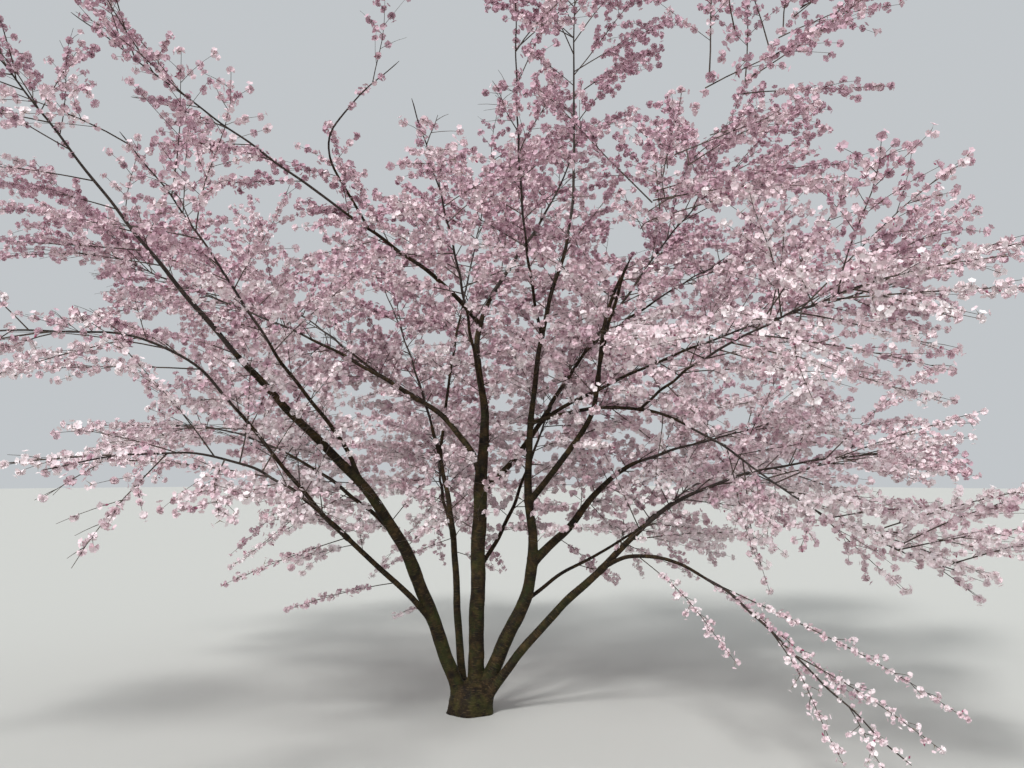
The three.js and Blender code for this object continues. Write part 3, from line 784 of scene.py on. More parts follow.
class Growth:
    """What has grown on the limbs: twigs, side twigs, and the umbels that they carry."""

    def __init__(self, umbel_spacing):
        self.umbel_spacing = umbel_spacing
        self.choice = np.random.default_rng(SEEDS["thinning"])
        self.twigs = []
        self.twiglets = []
        self.umbels = []
        for mass in crown().masses:
            roll = dice(mass.order + SEEDS["bends"])
            rng = np.random.default_rng(mass.order)
            usual = () if mass.limb.trailing else (source_twigs, finer_twigs, inner_twigs)
            for grow in (*usual, shoots):
                self.vigour = SHOOT_VIGOUR if grow is shoots else 1.0
                for twig in filter(None, grow(mass)):
                    self.add_twig(mass, twig, roll, rng, grow in (inner_twigs, shoots))
            self.vigour = SHOOT_VIGOUR if mass.limb.trailing else 1.0
            self.add_stem_umbels(mass, rng)

    def add_twig(self, mass, twig, roll, rng, roams):
        """One twig with its side twigs and umbels. One that roams may leave its mass's space."""
        start, run, length, spread = twig
        curve, share = cut_at_gap(twig_curve(start, run, length, roll))
        length *= share
        girth = min(1, LEAST_TWIG_GIRTH + GIRTH_PER_METRE * length)
        radius = TWIG_START_RADIUS * girth * self.vigour
        spray = roll()
        if length < SHORTEST_TWIG:
            return
        if self.choice.random() > share_left(curve[TWIG_MIDDLE])[0]:
            return
        self.twigs.append((curve, np.linspace(radius, TWIG_END_RADIUS, len(curve))))
        first = LONG_TWIG_CLEAR if length > LONG_TWIG else SHORT_TWIG_CLEAR
        self.add_twiglets(mass, curve, first, length, spread, spray, rng, roams)
        self.add_umbels(curve, first, length, spray, rng)

    def add_twiglets(self, mass, curve, first, length, spread, spray, rng, roams):
        """Side twigs on alternate sides, the longest about the twig's middle."""
        count = max(2, round(length * (1 - first) / TWIGLET_SPACING))
        share = np.arange(count) + 0.5 * rng.random(count)
        share = first + (TWIGLET_END - first) * share / count
        starts, forward = on_curve(curve, share)
        turns = math.pi * (np.arange(count) % 2) + (rng.random(count) - 0.5) * TWIGLET_TURN
        widest, change, chance = TWIGLET_ANGLES
        angles = np.radians(widest + change * share + chance * (rng.random(count) - 0.5))
        runs = forward * np.cos(angles)[:, None]
        runs += around(forward, turns) * np.sin(angles)[:, None]
        runs[:, 2] = runs[:, 2] * TWIGLET_FLATTENING + TWIGLET_LIFT
        runs = unit(runs)
        shape = 1.15 - 1.6 * (share - 0.4) ** 2 - 0.35 * share
        least, chance = TWIGLET_REACHES
        reaches = spread * shape * (least + chance * rng.random(count))
        bends = around(runs, math.pi * rng.integers(0, 2, count)) * TWIGLET_BEND
        bends -= UP * TWIGLET_DROOP
        share = np.linspace(0, 1, TWIGLET_POINTS)[:, None]
        for start, run, reach, bend in zip(starts, runs, reaches, bends):
            for length in (reach * trim for trim in TWIGLET_TRIMS):
                twiglet = start + run * length * share + bend * length * share**2
                free = roams or crown().inside(mass, twiglet[-1], SPACE_MARGIN)[0]
                if free and gap_place(twiglet[-1])[0] > GAP_CORE:
                    self.twiglets.append(twiglet)
                    self.add_umbels(twiglet, TWIGLET_CLEAR, length, spray, rng)
                    break

    def add_umbels(self, curve, first, length, spray, rng):
        """Umbels along a twig, one of them at its tip. On a shoot they gather in clumps."""
        count = max(1, round(length * (1 - first) / self.umbel_spacing / self.vigour**2))
        share = 1 - (1 - first) * (np.arange(count) + 0.5 * rng.random(count)) / count
        if self.vigour < 1:
            share += CLUMPING * CLUMP_SPACING / length * np.sin(
                2 * math.pi * share * length / CLUMP_SPACING
            ) / (2 * math.pi)
        share[0] = 1.0
        points, runs = on_curve(curve, share)
        outward = around(runs, 2 * math.pi * rng.random(count))
        outward += runs * np.where(share == 1.0, 1.0, UMBEL_LEAN)[:, None]
        self.keep_umbels(points, unit(outward), np.full(count, spray))

    def add_stem_umbels(self, mass, rng):
        """Umbels straight on the mass's own stem, and on the last of the clear wood."""
        limb = mass.limb
        start = limb.bare * STEM_UMBEL_START
        count = round((1 - start) * limb.length / self.umbel_spacing)
        share = start + (1 - start) * (np.arange(count) + rng.random(count)) / count
        runs = limb.direction(share)
        outward = around(runs, 2 * math.pi * rng.random(count))
        points = limb.point(share) + outward * limb.radius(share)[:, None] * STEM_UMBEL_SINK
        kept = (points[:, 2] > INNER_HEIGHT) | (share > limb.bare)
        outward = unit(outward + STEM_UMBEL_LEAN * runs)
        self.keep_umbels(points[kept], outward[kept], rng.random(kept.sum()))

    def keep_umbels(self, points, outward, spray):
        self.umbels.append((points, outward, spray, np.full(len(points), self.vigour)))


@functools.lru_cache(maxsize=1)
def growth(umbel_spacing):
    return Growth(umbel_spacing)


# Meshes


def new_object(name, data):
    """An object in the scene that holds a mesh, a lamp or a camera."""
    made = bpy.data.objects.new(name, data)
    bpy.context.scene.collection.objects.link(made)
    return made


def finished(name, mesh, material, replaced=()):
    """A piece of the tree: it rides on the root, stands for its nodes and takes its finish."""
    mesh.materials.append(material)
    piece = new_object(name, mesh)
    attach(piece, "root")
    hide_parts(*replaced)


def joined_mesh(name, parts):
    """One mesh from several sets of points and faces."""
    shift = 0
    faces = []
    for part_points, part_faces in parts:
        faces.extend((part_faces + shift).tolist())
        shift += len(part_points)
    mesh = bpy.data.meshes.new(name)
    mesh.from_pydata(np.vstack([part[0] for part in parts]).tolist(), [], faces)
    mesh.update()
    return mesh


def template(build):
    """Points and faces of a small shape that is repeated many times."""
    bm = bmesh.new()
    build(bm)
    bm.verts.index_update()
    points = np.array([vert.co for vert in bm.verts])
    faces = np.array([[vert.index for vert in face.verts] for face in bm.faces])
    bm.free()
    return points, faces


def copied_faces(faces, count, points_each):
    """The same faces on each of several copies of a shape's points."""
    shifts = np.arange(count)[:, None, None] * points_each
    return (faces[None] + shifts).reshape(-1, faces.shape[1])


def square_axes(runs, guides):
    """Two axes square to each run. They start level, unless the run's guide is nearly upright."""
    level = np.where(np.abs(guides[..., 2:]) < 0.95, UP, EAST)
    across = unit(np.cross(level, runs))
    return across, np.cross(runs, across)


def repeated(shape, places, axes, scales, spins):
    """The shape at each place, its Z turned to the axis, as one set of points and faces."""
    points, faces = shape
    across, third = square_axes(axes, axes)
    turned = across * np.cos(spins)[:, None] + third * np.sin(spins)[:, None]
    basis = np.stack([turned, np.cross(axes, turned), axes], axis=1) * scales[:, None, None]
    copies = np.einsum("vi,nij->nvj", points, basis) + places[:, None]
    return copies.reshape(-1, 3), copied_faces(faces, len(places), len(points))


def tubes(curves, radii, sides):
    """Closed tapering tubes along curves with the same number of points, as joined arrays."""
    curves, radii = np.array(curves), np.array(radii)
    count, rings = curves.shape[:2]
    tangents = unit(np.gradient(curves, axis=1))
    across, third = (axes[:, :, None] for axes in square_axes(tangents, tangents[:, :1]))
    turn = (2 * math.pi * np.arange(sides) / sides)[:, None]
    spokes = across * np.cos(turn) + third * np.sin(turn)
    points = curves[:, :, None] + spokes * radii[:, :, None, None]
    ring = np.arange(sides)
    following = (ring + 1) % sides
    wall = np.vstack([
        np.stack([ring, following, following + sides], axis=1),
        np.stack([ring, following + sides, ring + sides], axis=1),
    ])
    fan = np.stack([0 * ring[2:], ring[1:-1], ring[2:]], axis=1)
    faces = np.vstack([copied_faces(wall, rings - 1, sides), fan[:, ::-1],
                       fan + sides * (rings - 1)])
    return points.reshape(-1, 3), copied_faces(faces, count, rings * sides)


# Bark


def sweep(centres, tangents, radii, sides):
    """A closed bar: a circle that is extruded from one centre to the next."""
    bm = bmesh.new()
    turning = Vector((0, 0, 1)).rotation_difference(Vector(tangents[0]))
    places = []
    for i, centre in enumerate(centres):
        if i:
            bend = Vector(tangents[i - 1]).rotation_difference(Vector(tangents[i]))
            turning = bend @ turning
        size = Matrix.Scale(float(radii[i]), 4)
        places.append(Matrix.Translation(Vector(centre)) @ turning.to_matrix().to_4x4() @ size)
    made = bmesh.ops.create_circle(
        bm, cap_ends=True, segments=sides, radius=1, matrix=places[0]
    )
    edges = list({edge for vert in made["verts"] for edge in vert.link_edges})
    for before, after in zip(places, places[1:]):
        grown = bmesh.ops.extrude_edge_only(bm, edges=edges)["geom"]
        ring = {item for item in grown if isinstance(item, bmesh.types.BMVert)}
        edges = [
            item for item in grown
            if isinstance(item, bmesh.types.BMEdge) and ring.issuperset(item.verts)
        ]
        bmesh.ops.transform(bm, matrix=after @ before.inverted(), verts=list(ring))
    bmesh.ops.contextual_create(bm, geom=edges)
    bmesh.ops.recalc_face_normals(bm, faces=bm.faces)
    return bm


def trunk_radius(height):
    """The foot's radius: flared at the ground, and narrower over its upper half."""
    share = height / TRUNK_HEIGHT
    flare = FLARE_WIDTH * np.exp(-height / FLARE_HEIGHT)
    return (TRUNK_WAIST_RADIUS + flare) * (1 - TRUNK_TAPER * np.maximum(0, share - 0.5) / 0.5)


def flutes(angle, share):
    """How much wider the foot is at an angle: buttresses fade upwards, and creases deepen."""
    buttress = np.cos(BUTTRESSES * angle + BUTTRESS_TURN)
    swell = 1 + BUTTRESS_DEPTH * buttress * (1 - 0.6 * share)
    for middle, width in CREASES:
        apart = np.angle(np.exp(1j * (angle - middle)))
        swell = swell - CREASE_DEPTH * np.exp(-(apart / width) ** 2) * (0.3 + 0.7 * share)
    return swell


def foot_points(points):
    """Each point's depth outside the trunk's foot, and its direction from the middle."""
    share = np.clip(points[:, 2] / TRUNK_HEIGHT, 0, 1)
    offset = points[:, :2] - np.outer(share, [TRUNK_LEAN, 0])
    reach = np.linalg.norm(offset, axis=1)
    angle = np.arctan2(offset[:, 0], -offset[:, 1])
    wall = trunk_radius(share * TRUNK_HEIGHT) * flutes(angle, share)
    top = TRUNK_HEIGHT + TRUNK_CROWN * (1 - np.clip(reach / wall, 0, 1))
    outward = np.column_stack([offset / np.maximum(reach, 1e-6)[:, None], np.zeros(len(points))])
    return np.maximum(reach - wall, points[:, 2] - top), outward, offset


def foot():
    """The trunk's flared and faintly fluted foot, up to where its stems leave it."""
    heights = np.linspace(0, TRUNK_HEIGHT, FOOT_RINGS)
    centres = [(TRUNK_LEAN * h / TRUNK_HEIGHT, 0, h) for h in heights]
    radii = list(trunk_radius(heights))
    top_radius = radii[-1]
    for share in TOP_RINGS:
        centres.append((TRUNK_LEAN, 0, TRUNK_HEIGHT + TRUNK_CROWN * (1 - share)))
        radii.append(top_radius * share)
    bm = sweep(centres, [UP] * len(centres), radii, FOOT_SIDES)
    for vert in bm.verts:
        share = min(1, vert.co.z / TRUNK_HEIGHT)
        x = vert.co.x - TRUNK_LEAN * share
        swell = float(flutes(math.atan2(x, -vert.co.y), share))
        vert.co.x = x * swell + TRUNK_LEAN * share
        vert.co.y *= swell
    return bm


def clear_wood(limb):
    """The limb's clear wood. Its last stretch closes in, so that its fine end can take over."""
    count = max(3, math.ceil(limb.bare * limb.length / BEAD_SPACING))
    share = np.linspace(0, limb.bare, count + 1)
    radii = limb.radius(share)
    radii[-1] *= BAR_END_GIRTH
    return sweep(limb.point(share), limb.direction(share), radii, LIMB_SIDES)


@functools.lru_cache(maxsize=1)
def limb_samples():
    """Closely spaced places on each limb's clear wood, with axes carried along it."""
    samples = []
    for limb in crown().limbs.values():
        count = math.ceil(limb.bare * limb.length / SAMPLE_SPACING)
        share = np.linspace(0, limb.bare, count + 1)
        points, tangents = limb.point(share), limb.direction(share)
        side = twig_axes(tangents[0])[1]
        sides = []
        for tangent in tangents:
            side = unit(side - tangent * (side @ tangent))
            sides.append(side)
        left = (limb.bare - share) * limb.length
        radii = limb.radius(share) * np.interp(left, (0, CLOSING_LENGTH), (CLOSING_GIRTH, 1))
        thirds = np.cross(tangents, np.array(sides))
        samples.append((points, tangents, np.array(sides), thirds, radii, share * limb.length))
    return samples


def nearest_samples(points, samples, block=20000):
    """Index of the nearest sample to each point, worked out in blocks to save memory."""
    nearest = np.empty(len(points), int)
    squares = (samples**2).sum(axis=1)
    for first in range(0, len(points), block):
        part = slice(first, first + block)
        nearest[part] = (squares - 2 * points[part] @ samples.T).argmin(axis=1)
    return nearest


def wood_field(points):
    """Depth outside the smoothly joined wood, the way out of it, and grain coordinates.

    The grain coordinates are two across the nearest limb and one along it, and the last column is
    the limb's radius there. The wood is joined more softly towards the ground.
    """
    depth, outward, offset = foot_points(points)
    blend = BLEND + FOOT_BLEND * np.exp(-points[:, 2] / FOOT_BLEND_HEIGHT)
    weight = np.exp(-np.clip(depth, *FIELD_DEPTHS) / blend)
    way = outward * weight[:, None]
    best = depth.copy()
    grain = np.column_stack([offset, points[:, 2], np.full(len(points), TRUNK_WAIST_RADIUS)])
    for samples, tangents, sides, thirds, radii, lengths in limb_samples():
        low, high = samples.min(axis=0) - FIELD_REACH, samples.max(axis=0) + FIELD_REACH
        near = np.flatnonzero(((points > low) & (points < high)).all(axis=1))
        if not len(near):
            continue
        index = nearest_samples(points[near], samples)
        offset = points[near] - samples[index]
        ahead = (offset * tangents[index]).sum(axis=1)
        radial = offset - ahead[:, None] * tangents[index]
        reach = np.linalg.norm(radial, axis=1)
        gap = reach - radii[index]
        first, last = index == 0, index == len(samples) - 1
        gap[first] = np.maximum(gap[first], -ahead[first])
        gap[last] = np.maximum(gap[last], ahead[last])
        part = np.exp(-np.clip(gap, *FIELD_DEPTHS) / blend[near])
        weight[near] += part
        way[near] += radial / np.maximum(reach, 1e-6)[:, None] * part[:, None]
        closer = gap < best[near]
        chosen = near[closer]
        index = index[closer]
        best[chosen] = gap[closer]
        grain[chosen] = np.column_stack([
            (radial[closer] * sides[index]).sum(axis=1),
            (radial[closer] * thirds[index]).sum(axis=1),
            lengths[index] + ahead[closer],
            radii[index],
        ])
    return -blend * np.log(weight), unit(way + 1e-9), grain


def relief(grain, depth):
    """Height of the bark: slow lumps, level bands of lenticels, and furrows on old wood.

    Lumps are about 60 mm across and stand up to 6 mm proud, bands are 40 mm wide and 8 mm high,
    and furrows are 18 mm apart.
    """
    heights = np.empty(len(grain))
    for i, (x, y, s, radius) in enumerate(grain):
        lumps = noise.noise((x * 16, y * 16, s * 9))
        bands = noise.noise((x * 26, y * 26, s * 120 + 7))
        furrows = abs(noise.noise((x * 55 + 3, y * 55, s * 10)))
        old = min(1.0, max(0.0, (radius - OLD_WOOD_RADIUS) / OLD_WOOD_RANGE))
        heights[i] = (
            lumps * min(0.09 * radius, 0.006)
            + bands * (0.25 + 0.75 * old) * depth * 0.5
            - (0.25 - furrows) * old * depth
        )
    return heights


def vertex_array(mesh):
    points = np.empty(len(mesh.vertices) * 3)
    mesh.vertices.foreach_get("co", points)
    return points.reshape(-1, 3)


def move_vertices(mesh, points):
    mesh.vertices.foreach_set("co", points.ravel())
    mesh.update()


def with_modifier(mesh, kind, **settings):
    """A copy of the mesh with one modifier applied."""
    holder = new_object("holder", mesh)
    modifier = holder.modifiers.new(kind.title(), kind)
    for name, value in settings.items():
        setattr(modifier, name, value)
    depsgraph = bpy.context.evaluated_depsgraph_get()
    changed = bpy.data.meshes.new_from_object(holder.evaluated_get(depsgraph))
    bpy.data.objects.remove(holder)
    return changed


def bark_mesh(voxel, depth, triangles):
    """The foot and all clear wood as one closed mesh: joined, fitted, given relief and thinned."""
    joined = bmesh.new()
    rough = bpy.data.meshes.new("rough_wood")
    for bar in (foot(), *map(clear_wood, crown().limbs.values())):
        bar.to_mesh(rough)
        bar.free()
        joined.from_mesh(rough)
    joined.to_mesh(rough)
    joined.free()
    wood = with_modifier(rough, "REMESH", mode="VOXEL", voxel_size=voxel)
    points = vertex_array(wood)
    for _ in range(FITTING_ROUNDS):
        gap, way, grain = wood_field(points)
        points -= way * np.clip(gap, -FITTING_STEP, FITTING_STEP)[:, None]
    raised = points + way * relief(grain, depth)[:, None]
    on_ground = points[:, 2] < GROUND_BAND * voxel
    raised[on_ground, :2] = points[on_ground, :2]
    raised[on_ground, 2] = 0
    raised[:, 2] = np.maximum(raised[:, 2], 0)
    move_vertices(wood, raised)
    faces = sum(len(polygon.vertices) - 2 for polygon in wood.polygons)
    wood = with_modifier(wood, "DECIMATE", ratio=min(1.0, triangles / faces))
    points = vertex_array(wood)
    points[:, 2] = np.maximum(points[:, 2], 0)
    move_vertices(wood, points)
    store_grain(wood)
    for polygon in wood.polygons:
        polygon.use_smooth = True
    return wood


def store_grain(mesh):
    """Keeps where each vertex lies on its limb, so that the bark's pattern follows the wood."""
    _, _, grain = wood_field(vertex_array(mesh))
    attribute = mesh.attributes.new("grain", "FLOAT_VECTOR", "POINT")
    attribute.data.foreach_set("vector", np.ascontiguousarray(grain[:, :3]).ravel())
    size = mesh.attributes.new("wood_radius", "FLOAT", "POINT")
    size.data.foreach_set("value", grain[:, 3])


# Materials


def linear(code):
    """An sRGB hex colour as linear red, green, blue and alpha."""
    parts = [int(code[i:i + 2], 16) / 255 for i in (1, 3, 5)]
    lit = [c / 12.92 if c <= 0.04045 else ((c + 0.055) / 1.055) ** 2.4 for c in parts]
    return (*lit, 1.0)


def add(tree, kind, inputs=None, stops=(), **settings):
    """Adds a node with its settings, its inputs' values or links, and a ramp's stops."""
    node = tree.nodes.new(kind)
    for name, value in settings.items():
        setattr(node, name, value)
    for name, value in (inputs or {}).items():
        if isinstance(value, bpy.types.NodeSocket):
            tree.links.new(value, node.inputs[name])
        else:
            node.inputs[name].default_value = value
    for i, (place, colour) in enumerate(stops):
        elements = node.color_ramp.elements
        element = elements[i] if i < len(elements) else elements.new(place)
        element.position = place
        element.color = colour
    return node


def new_material(name):
    """A named material, and its empty node tree."""
    material = bpy.data.materials.new(name)
    material.use_nodes = True
    material.node_tree.nodes.clear()
    return material, material.node_tree


def add_surface(tree, inputs, roughness=None, bump=None):
    """The shader with its inputs. A pattern may set its roughness, and another its bump."""
    if roughness:
        pattern = add(tree, "ShaderNodeMapRange", roughness)
        inputs["Roughness"] = pattern.outputs["Result"]
    if bump:
        inputs["Normal"] = add(tree, "ShaderNodeBump", bump).outputs["Normal"]
    shader = add(tree, "ShaderNodeBsdfPrincipled", inputs)
    add(tree, "ShaderNodeOutputMaterial", {"Surface": shader.outputs["BSDF"]})


def cherry_bark(wood):
    """Cherry bark: dark and faintly satin, with pale level lenticels, and moss on old wood."""
    material, tree = new_material("Cherry bark, dark with lenticels")
    grain = add(tree, "ShaderNodeAttribute", attribute_name="grain").outputs["Vector"]
    radius = add(tree, "ShaderNodeAttribute", attribute_name="wood_radius").outputs["Fac"]
    # Patches of bark are 40 to 80 mm across
    patches = add(
        tree, "ShaderNodeTexNoise",
        {"Vector": grain, "Scale": 18.0, "Detail": 5.0, "Roughness": 0.62},
    ).outputs["Fac"]
    face = add(tree, "ShaderNodeValToRGB", {"Fac": patches}, [
        (0.36, wood.furrow), (0.50, wood.ridge), (0.66, wood.weathered)
    ])
    # Lenticels are 8 to 30 mm wide and 2 mm high: drawn 5 mm high, to show at this size.
    # Furrows of old bark run along the wood, about 12 mm apart
    lenticels, furrows = (
        add(tree, "ShaderNodeTexNoise", {
            "Scale": 1.0, "Detail": detail, "Vector": add(
                tree, "ShaderNodeVectorMath", {0: grain, 1: scale}, operation="MULTIPLY"
            ).outputs["Vector"],
        }).outputs["Fac"]
        for scale, detail in (((26.0, 26.0, 190.0), 2.0), ((85.0, 85.0, 16.0), 4.0))
    )
    pale = add(tree, "ShaderNodeValToRGB", {"Fac": lenticels}, [
        (0.57, linear("#000000")), (0.67, linear("#a8a8a8"))
    ])
    lined = add(
        tree, "ShaderNodeMix",
        {"Factor": pale.outputs["Color"], "A": face.outputs["Color"], "B": wood.lenticel},
        data_type="RGBA",
    )
    # Moss lies in patches a hand wide, on wood thicker than about 30 mm
    spot = add(tree, "ShaderNodeTexCoord").outputs["Object"]
    moss = add(
        tree, "ShaderNodeTexNoise",
        {"Vector": spot, "Scale": 9.0, "Detail": 6.0, "Roughness": 0.7},
    )
    cover = add(tree, "ShaderNodeValToRGB", {"Fac": moss.outputs["Fac"]}, [
        (0.46, linear("#000000")), (0.62, linear("#bcbcbc"))
    ])
    on_old = add(
        tree, "ShaderNodeMapRange", {"Value": radius, "From Min": 0.012, "From Max": 0.034}
    )
    mossy = add(
        tree, "ShaderNodeMath", {0: cover.outputs["Color"], 1: on_old.outputs["Result"]},
        operation="MULTIPLY",
    )
    green = add(
        tree, "ShaderNodeMix",
        {"Factor": mossy.outputs[0], "A": lined.outputs["Result"], "B": wood.moss},
        data_type="RGBA",
    )
    height = add(tree, "ShaderNodeMath", {0: lenticels, 1: furrows}, operation="ADD")
    add_surface(
        tree,
        {"Base Color": green.outputs["Result"], "IOR": 1.45, "Specular IOR Level": 0.25},
        {"Value": patches, "From Min": 0.3, "From Max": 0.7, "To Min": 0.62, "To Max": 0.92},
        {"Strength": 0.8, "Distance": 0.004, "Height": height.outputs[0]},
    )
    return material


def twig_bark(name, dark, light):
    """Young cherry bark: smooth, thin and a little glossy, green-brown with grey skin."""
    material, tree = new_material(name)
    place = add(tree, "ShaderNodeTexCoord").outputs["Object"]
    # Grey skin comes off in flecks of about 15 mm
    flecks = add(
        tree, "ShaderNodeTexNoise", {"Vector": place, "Scale": 65.0, "Detail": 3.0}
    ).outputs["Fac"]
    skin = add(tree, "ShaderNodeValToRGB", {"Fac": flecks}, [(0.35, dark), (0.65, light)])
    add_surface(
        tree, {"Base Color": skin.outputs["Color"], "IOR": 1.45},
        {"Value": flecks, "To Min": 0.5, "To Max": 0.8},
        {"Strength": 0.3, "Distance": 0.001, "Height": flecks},
    )
    return material


def petal(name, colour, shade):
    """Cherry petals: thin, matt and soft, with fine veins, and some of them a little deeper."""
    material, tree = new_material(name)
    place = add(tree, "ShaderNodeTexCoord").outputs["Object"]
    # One flower in three is a touch deeper: flowers are just under 40 mm across.
    # Petal veins are under 1 mm apart: drawn 4 mm apart, to show at all
    flowers, veins = (
        add(
            tree, "ShaderNodeTexNoise", {"Vector": place, "Scale": scale, "Detail": detail}
        ).outputs["Fac"]
        for scale, detail in ((24.0, 2.0), (250.0, 1.0))
    )
    tinted = add(tree, "ShaderNodeValToRGB", {"Fac": flowers}, [(0.38, colour), (0.66, shade)])
    add_surface(
        tree,
        {"Base Color": tinted.outputs["Color"], "IOR": 1.4, "Specular IOR Level": 0.25,
         "Sheen Weight": 0.12},
        {"Value": flowers, "To Min": 0.6, "To Max": 0.85},
        {"Strength": 0.2, "Distance": 0.001, "Height": veins},
    )
    return material


# Blossom


def build_petals(bm, corners):
    """A ring of five petals: one face with the given corners, spun round the flower's middle."""
    verts = [bm.verts.new(corner) for corner in corners]
    face = bmesh.ops.contextual_create(bm, geom=verts)["faces"][0]
    bmesh.ops.spin(
        bm, geom=[face, *face.edges, *face.verts], axis=(0, 0, 1), cent=(0, 0, 0),
        angle=2 * math.pi * 4 / 5, steps=4, use_duplicate=True,
    )


def build_open_flower(bm):
    """Petals spread nearly flat, each from its base over two shoulders to its tip."""
    build_petals(bm, [(0, 0, 0), (0.68, -0.46, 0.26), (1, 0, 0.34), (0.68, 0.46, 0.26)])


def build_cupped_flower(bm):
    """A flower set close to its twig: its petals widen from a point on the twig to the rim."""
    build_petals(bm, [(0, 0, 0), (0.88, -0.52, 0.95), (0.88, 0.52, 0.95)])


def build_bud(bm):
    """A closed bud: a slim ball of eight faces that starts just under its base."""
    bmesh.ops.create_uvsphere(bm, u_segments=4, v_segments=2, radius=1)
    bmesh.ops.scale(bm, vec=(0.5, 0.5, 1.0), verts=bm.verts)
    bmesh.ops.translate(bm, vec=(0, 0, 0.9), verts=bm.verts)
    bmesh.ops.triangulate(bm, faces=bm.faces)


def build_stalk(bm):
    """A flower's stalk: a closed three-sided spike of unit length."""
    bmesh.ops.create_cone(
        bm, cap_ends=True, segments=3, radius1=0.07, radius2=0, depth=1,
        matrix=Matrix.Translation((0, 0, 0.5)),
    )


@functools.lru_cache(maxsize=1)
def umbel_arrays(spacing):
    """Place, facing, spray and vigour of the umbels, with the gaps and most limbs left open."""
    umbels = [np.concatenate(rows) for rows in zip(*growth(spacing).umbels)]
    points = umbels[0]
    rng = np.random.default_rng(SEEDS["openings"])
    kept = gap_place(points) > rng.uniform(*GAP_EDGE, len(points))
    kept &= ~hides_wood(points) | (rng.random(len(points)) > OPEN_WOOD_SHARE)
    return [row[kept] for row in umbels]


def tint_of(points, spray, vigour, rng):
    """Deals a tint to each umbel by its spray, and deeper ones higher in the crown as painted shade.
    """
    lowest, rise = PAINTED_SHADE_HEIGHTS
    by_height_shade, by_spray, by_chance, by_weakness = TINT_WEIGHTS
    # Painted shade: the tint deepens with height, for the shaded upper crown
    depth = by_height_shade * np.clip((points[:, 2] - lowest) / rise, 0, 1)
    depth += by_spray * spray + by_chance * rng.random(len(points)) + by_weakness * (1 - vigour)
    return np.argsort(np.argsort(depth)) * len(TINTS) // len(points)


@functools.lru_cache(maxsize=1)
def flowers(spacing):
    """Every flower: its umbel's place and tint, and its own facing, size, spin and stalk."""
    points, outward, spray, vigour = umbel_arrays(spacing)
    rng = np.random.default_rng(SEEDS["flowers"])
    umbel_tint = tint_of(points, spray, vigour, rng)
    number = rng.integers(*FLOWERS_IN_UMBEL, len(points))
    number = np.round(number * vigour**2).astype(int)
    owner = np.repeat(np.arange(len(points)), number)
    count = len(owner)
    place_in_umbel = np.arange(count) - np.repeat(np.cumsum(number) - number, number)
    turns = 2 * math.pi * place_in_umbel / number[owner] + 6.3 * rng.random(len(points))[owner]
    lean = np.radians(rng.uniform(*FLOWER_LEAN, count))
    facing = outward[owner] * np.cos(lean)[:, None]
    facing += around(outward[owner], turns) * np.sin(lean)[:, None]
    facing[:, 2] -= FLOWER_NOD
    on_stalk = rng.random(count) < STALKED_SHARE
    return {
        "place": points[owner],
        "facing": unit(facing),
        "size": rng.uniform(*FLOWER_SIZES, count) * vigour[owner]
        * np.interp(points[owner, 1], *SIZE_BY_DEPTH),
        "spin": 2 * math.pi * rng.random(count),
        "tint": umbel_tint[owner],
        "stalk": np.where(on_stalk, rng.uniform(*STALK_LENGTHS, count), 0.0),
    }


# Settings


def colour_setting(name, what, code):
    """A colour that a user may change, given as an sRGB hex code."""
    return bpy.props.FloatVectorProperty(
        name=name, description=f"Colour of {what}", default=linear(code), size=4, min=0.0,
        max=1.0, subtype="COLOR",
    )


def length_setting(name, description, default, least, most):
    """A length that a user may change, in metres."""
    return bpy.props.FloatProperty(
        name=name, description=description, default=default, min=least, max=most,
        unit="LENGTH", precision=4,
    )


class BarkSettings(bpy.types.PropertyGroup):
    """Sizes and colours of the bark"""

    voxel: length_setting(
        "Mesh spacing", "Spacing of the bark mesh before it is thinned", 0.0052, 0.003, 0.02
    )
    depth: length_setting(
        "Relief", "Depth of the bark's bands and furrows", 0.0035, 0.0, 0.02
    )
    triangles: bpy.props.IntProperty(
        name="Triangles", description="Most triangles that the bark mesh keeps", default=130000,
    )
    furrow: colour_setting("Furrows", "the furrows", "#130d09")
    ridge: colour_setting("Ridges", "the bark's face", "#291f12")
    weathered: colour_setting("Weathered", "weathered patches", "#463722")
    lenticel: colour_setting("Lenticels", "the lenticels", "#6d5a40")
    moss: colour_setting("Moss", "the moss", "#38401a")


class TwigSettings(bpy.types.PropertyGroup):
    """Colours of the twigs"""

    bough_dark: colour_setting("Dark bough", "the bough ends where they are darker", "#1c1512")
    bough_light: colour_setting("Light bough", "the bough ends where they are lighter", "#40332a")
    dark: colour_setting("Dark twigs", "the twigs where they are darker", "#2b211c")
    light: colour_setting("Light twigs", "the twigs where they are lighter", "#54463a")


class BlossomSettings(bpy.types.PropertyGroup):
    """Sizes and colours of the blossom"""

    radius: length_setting(
        "Flower radius", "Reach of a petal from the flower's middle", 0.019, 0.01, 0.05
    )
    spacing: length_setting(
        "Umbel spacing", "Distance between clusters of flowers on a twig", 0.058, 0.02, 0.3
    )
    stalk: colour_setting("Stalks", "the flower stalks", "#5d4a38")
    stalk_light: colour_setting("Light stalks", "the paler flecks of the stalks", "#7d6a4c")
    bud: colour_setting("Buds", "the buds", "#a65a72")
    bud_shade: colour_setting("Deep buds", "the deeper buds", "#8c4560")


class StageSettings(bpy.types.PropertyGroup):
    """Colours and light of the stage"""

    floor: colour_setting("Floor", "the studio floor", "#bdbdb8")
    sky: colour_setting("Surroundings", "the light all round", "#e3e8ec")
    key: bpy.props.FloatProperty(
        name="Key light", description="Strength of the main lamp", default=2.7, min=0.0,
    )


# Each tint has a petal colour, a deeper shade for some flowers, and the slot it belongs to

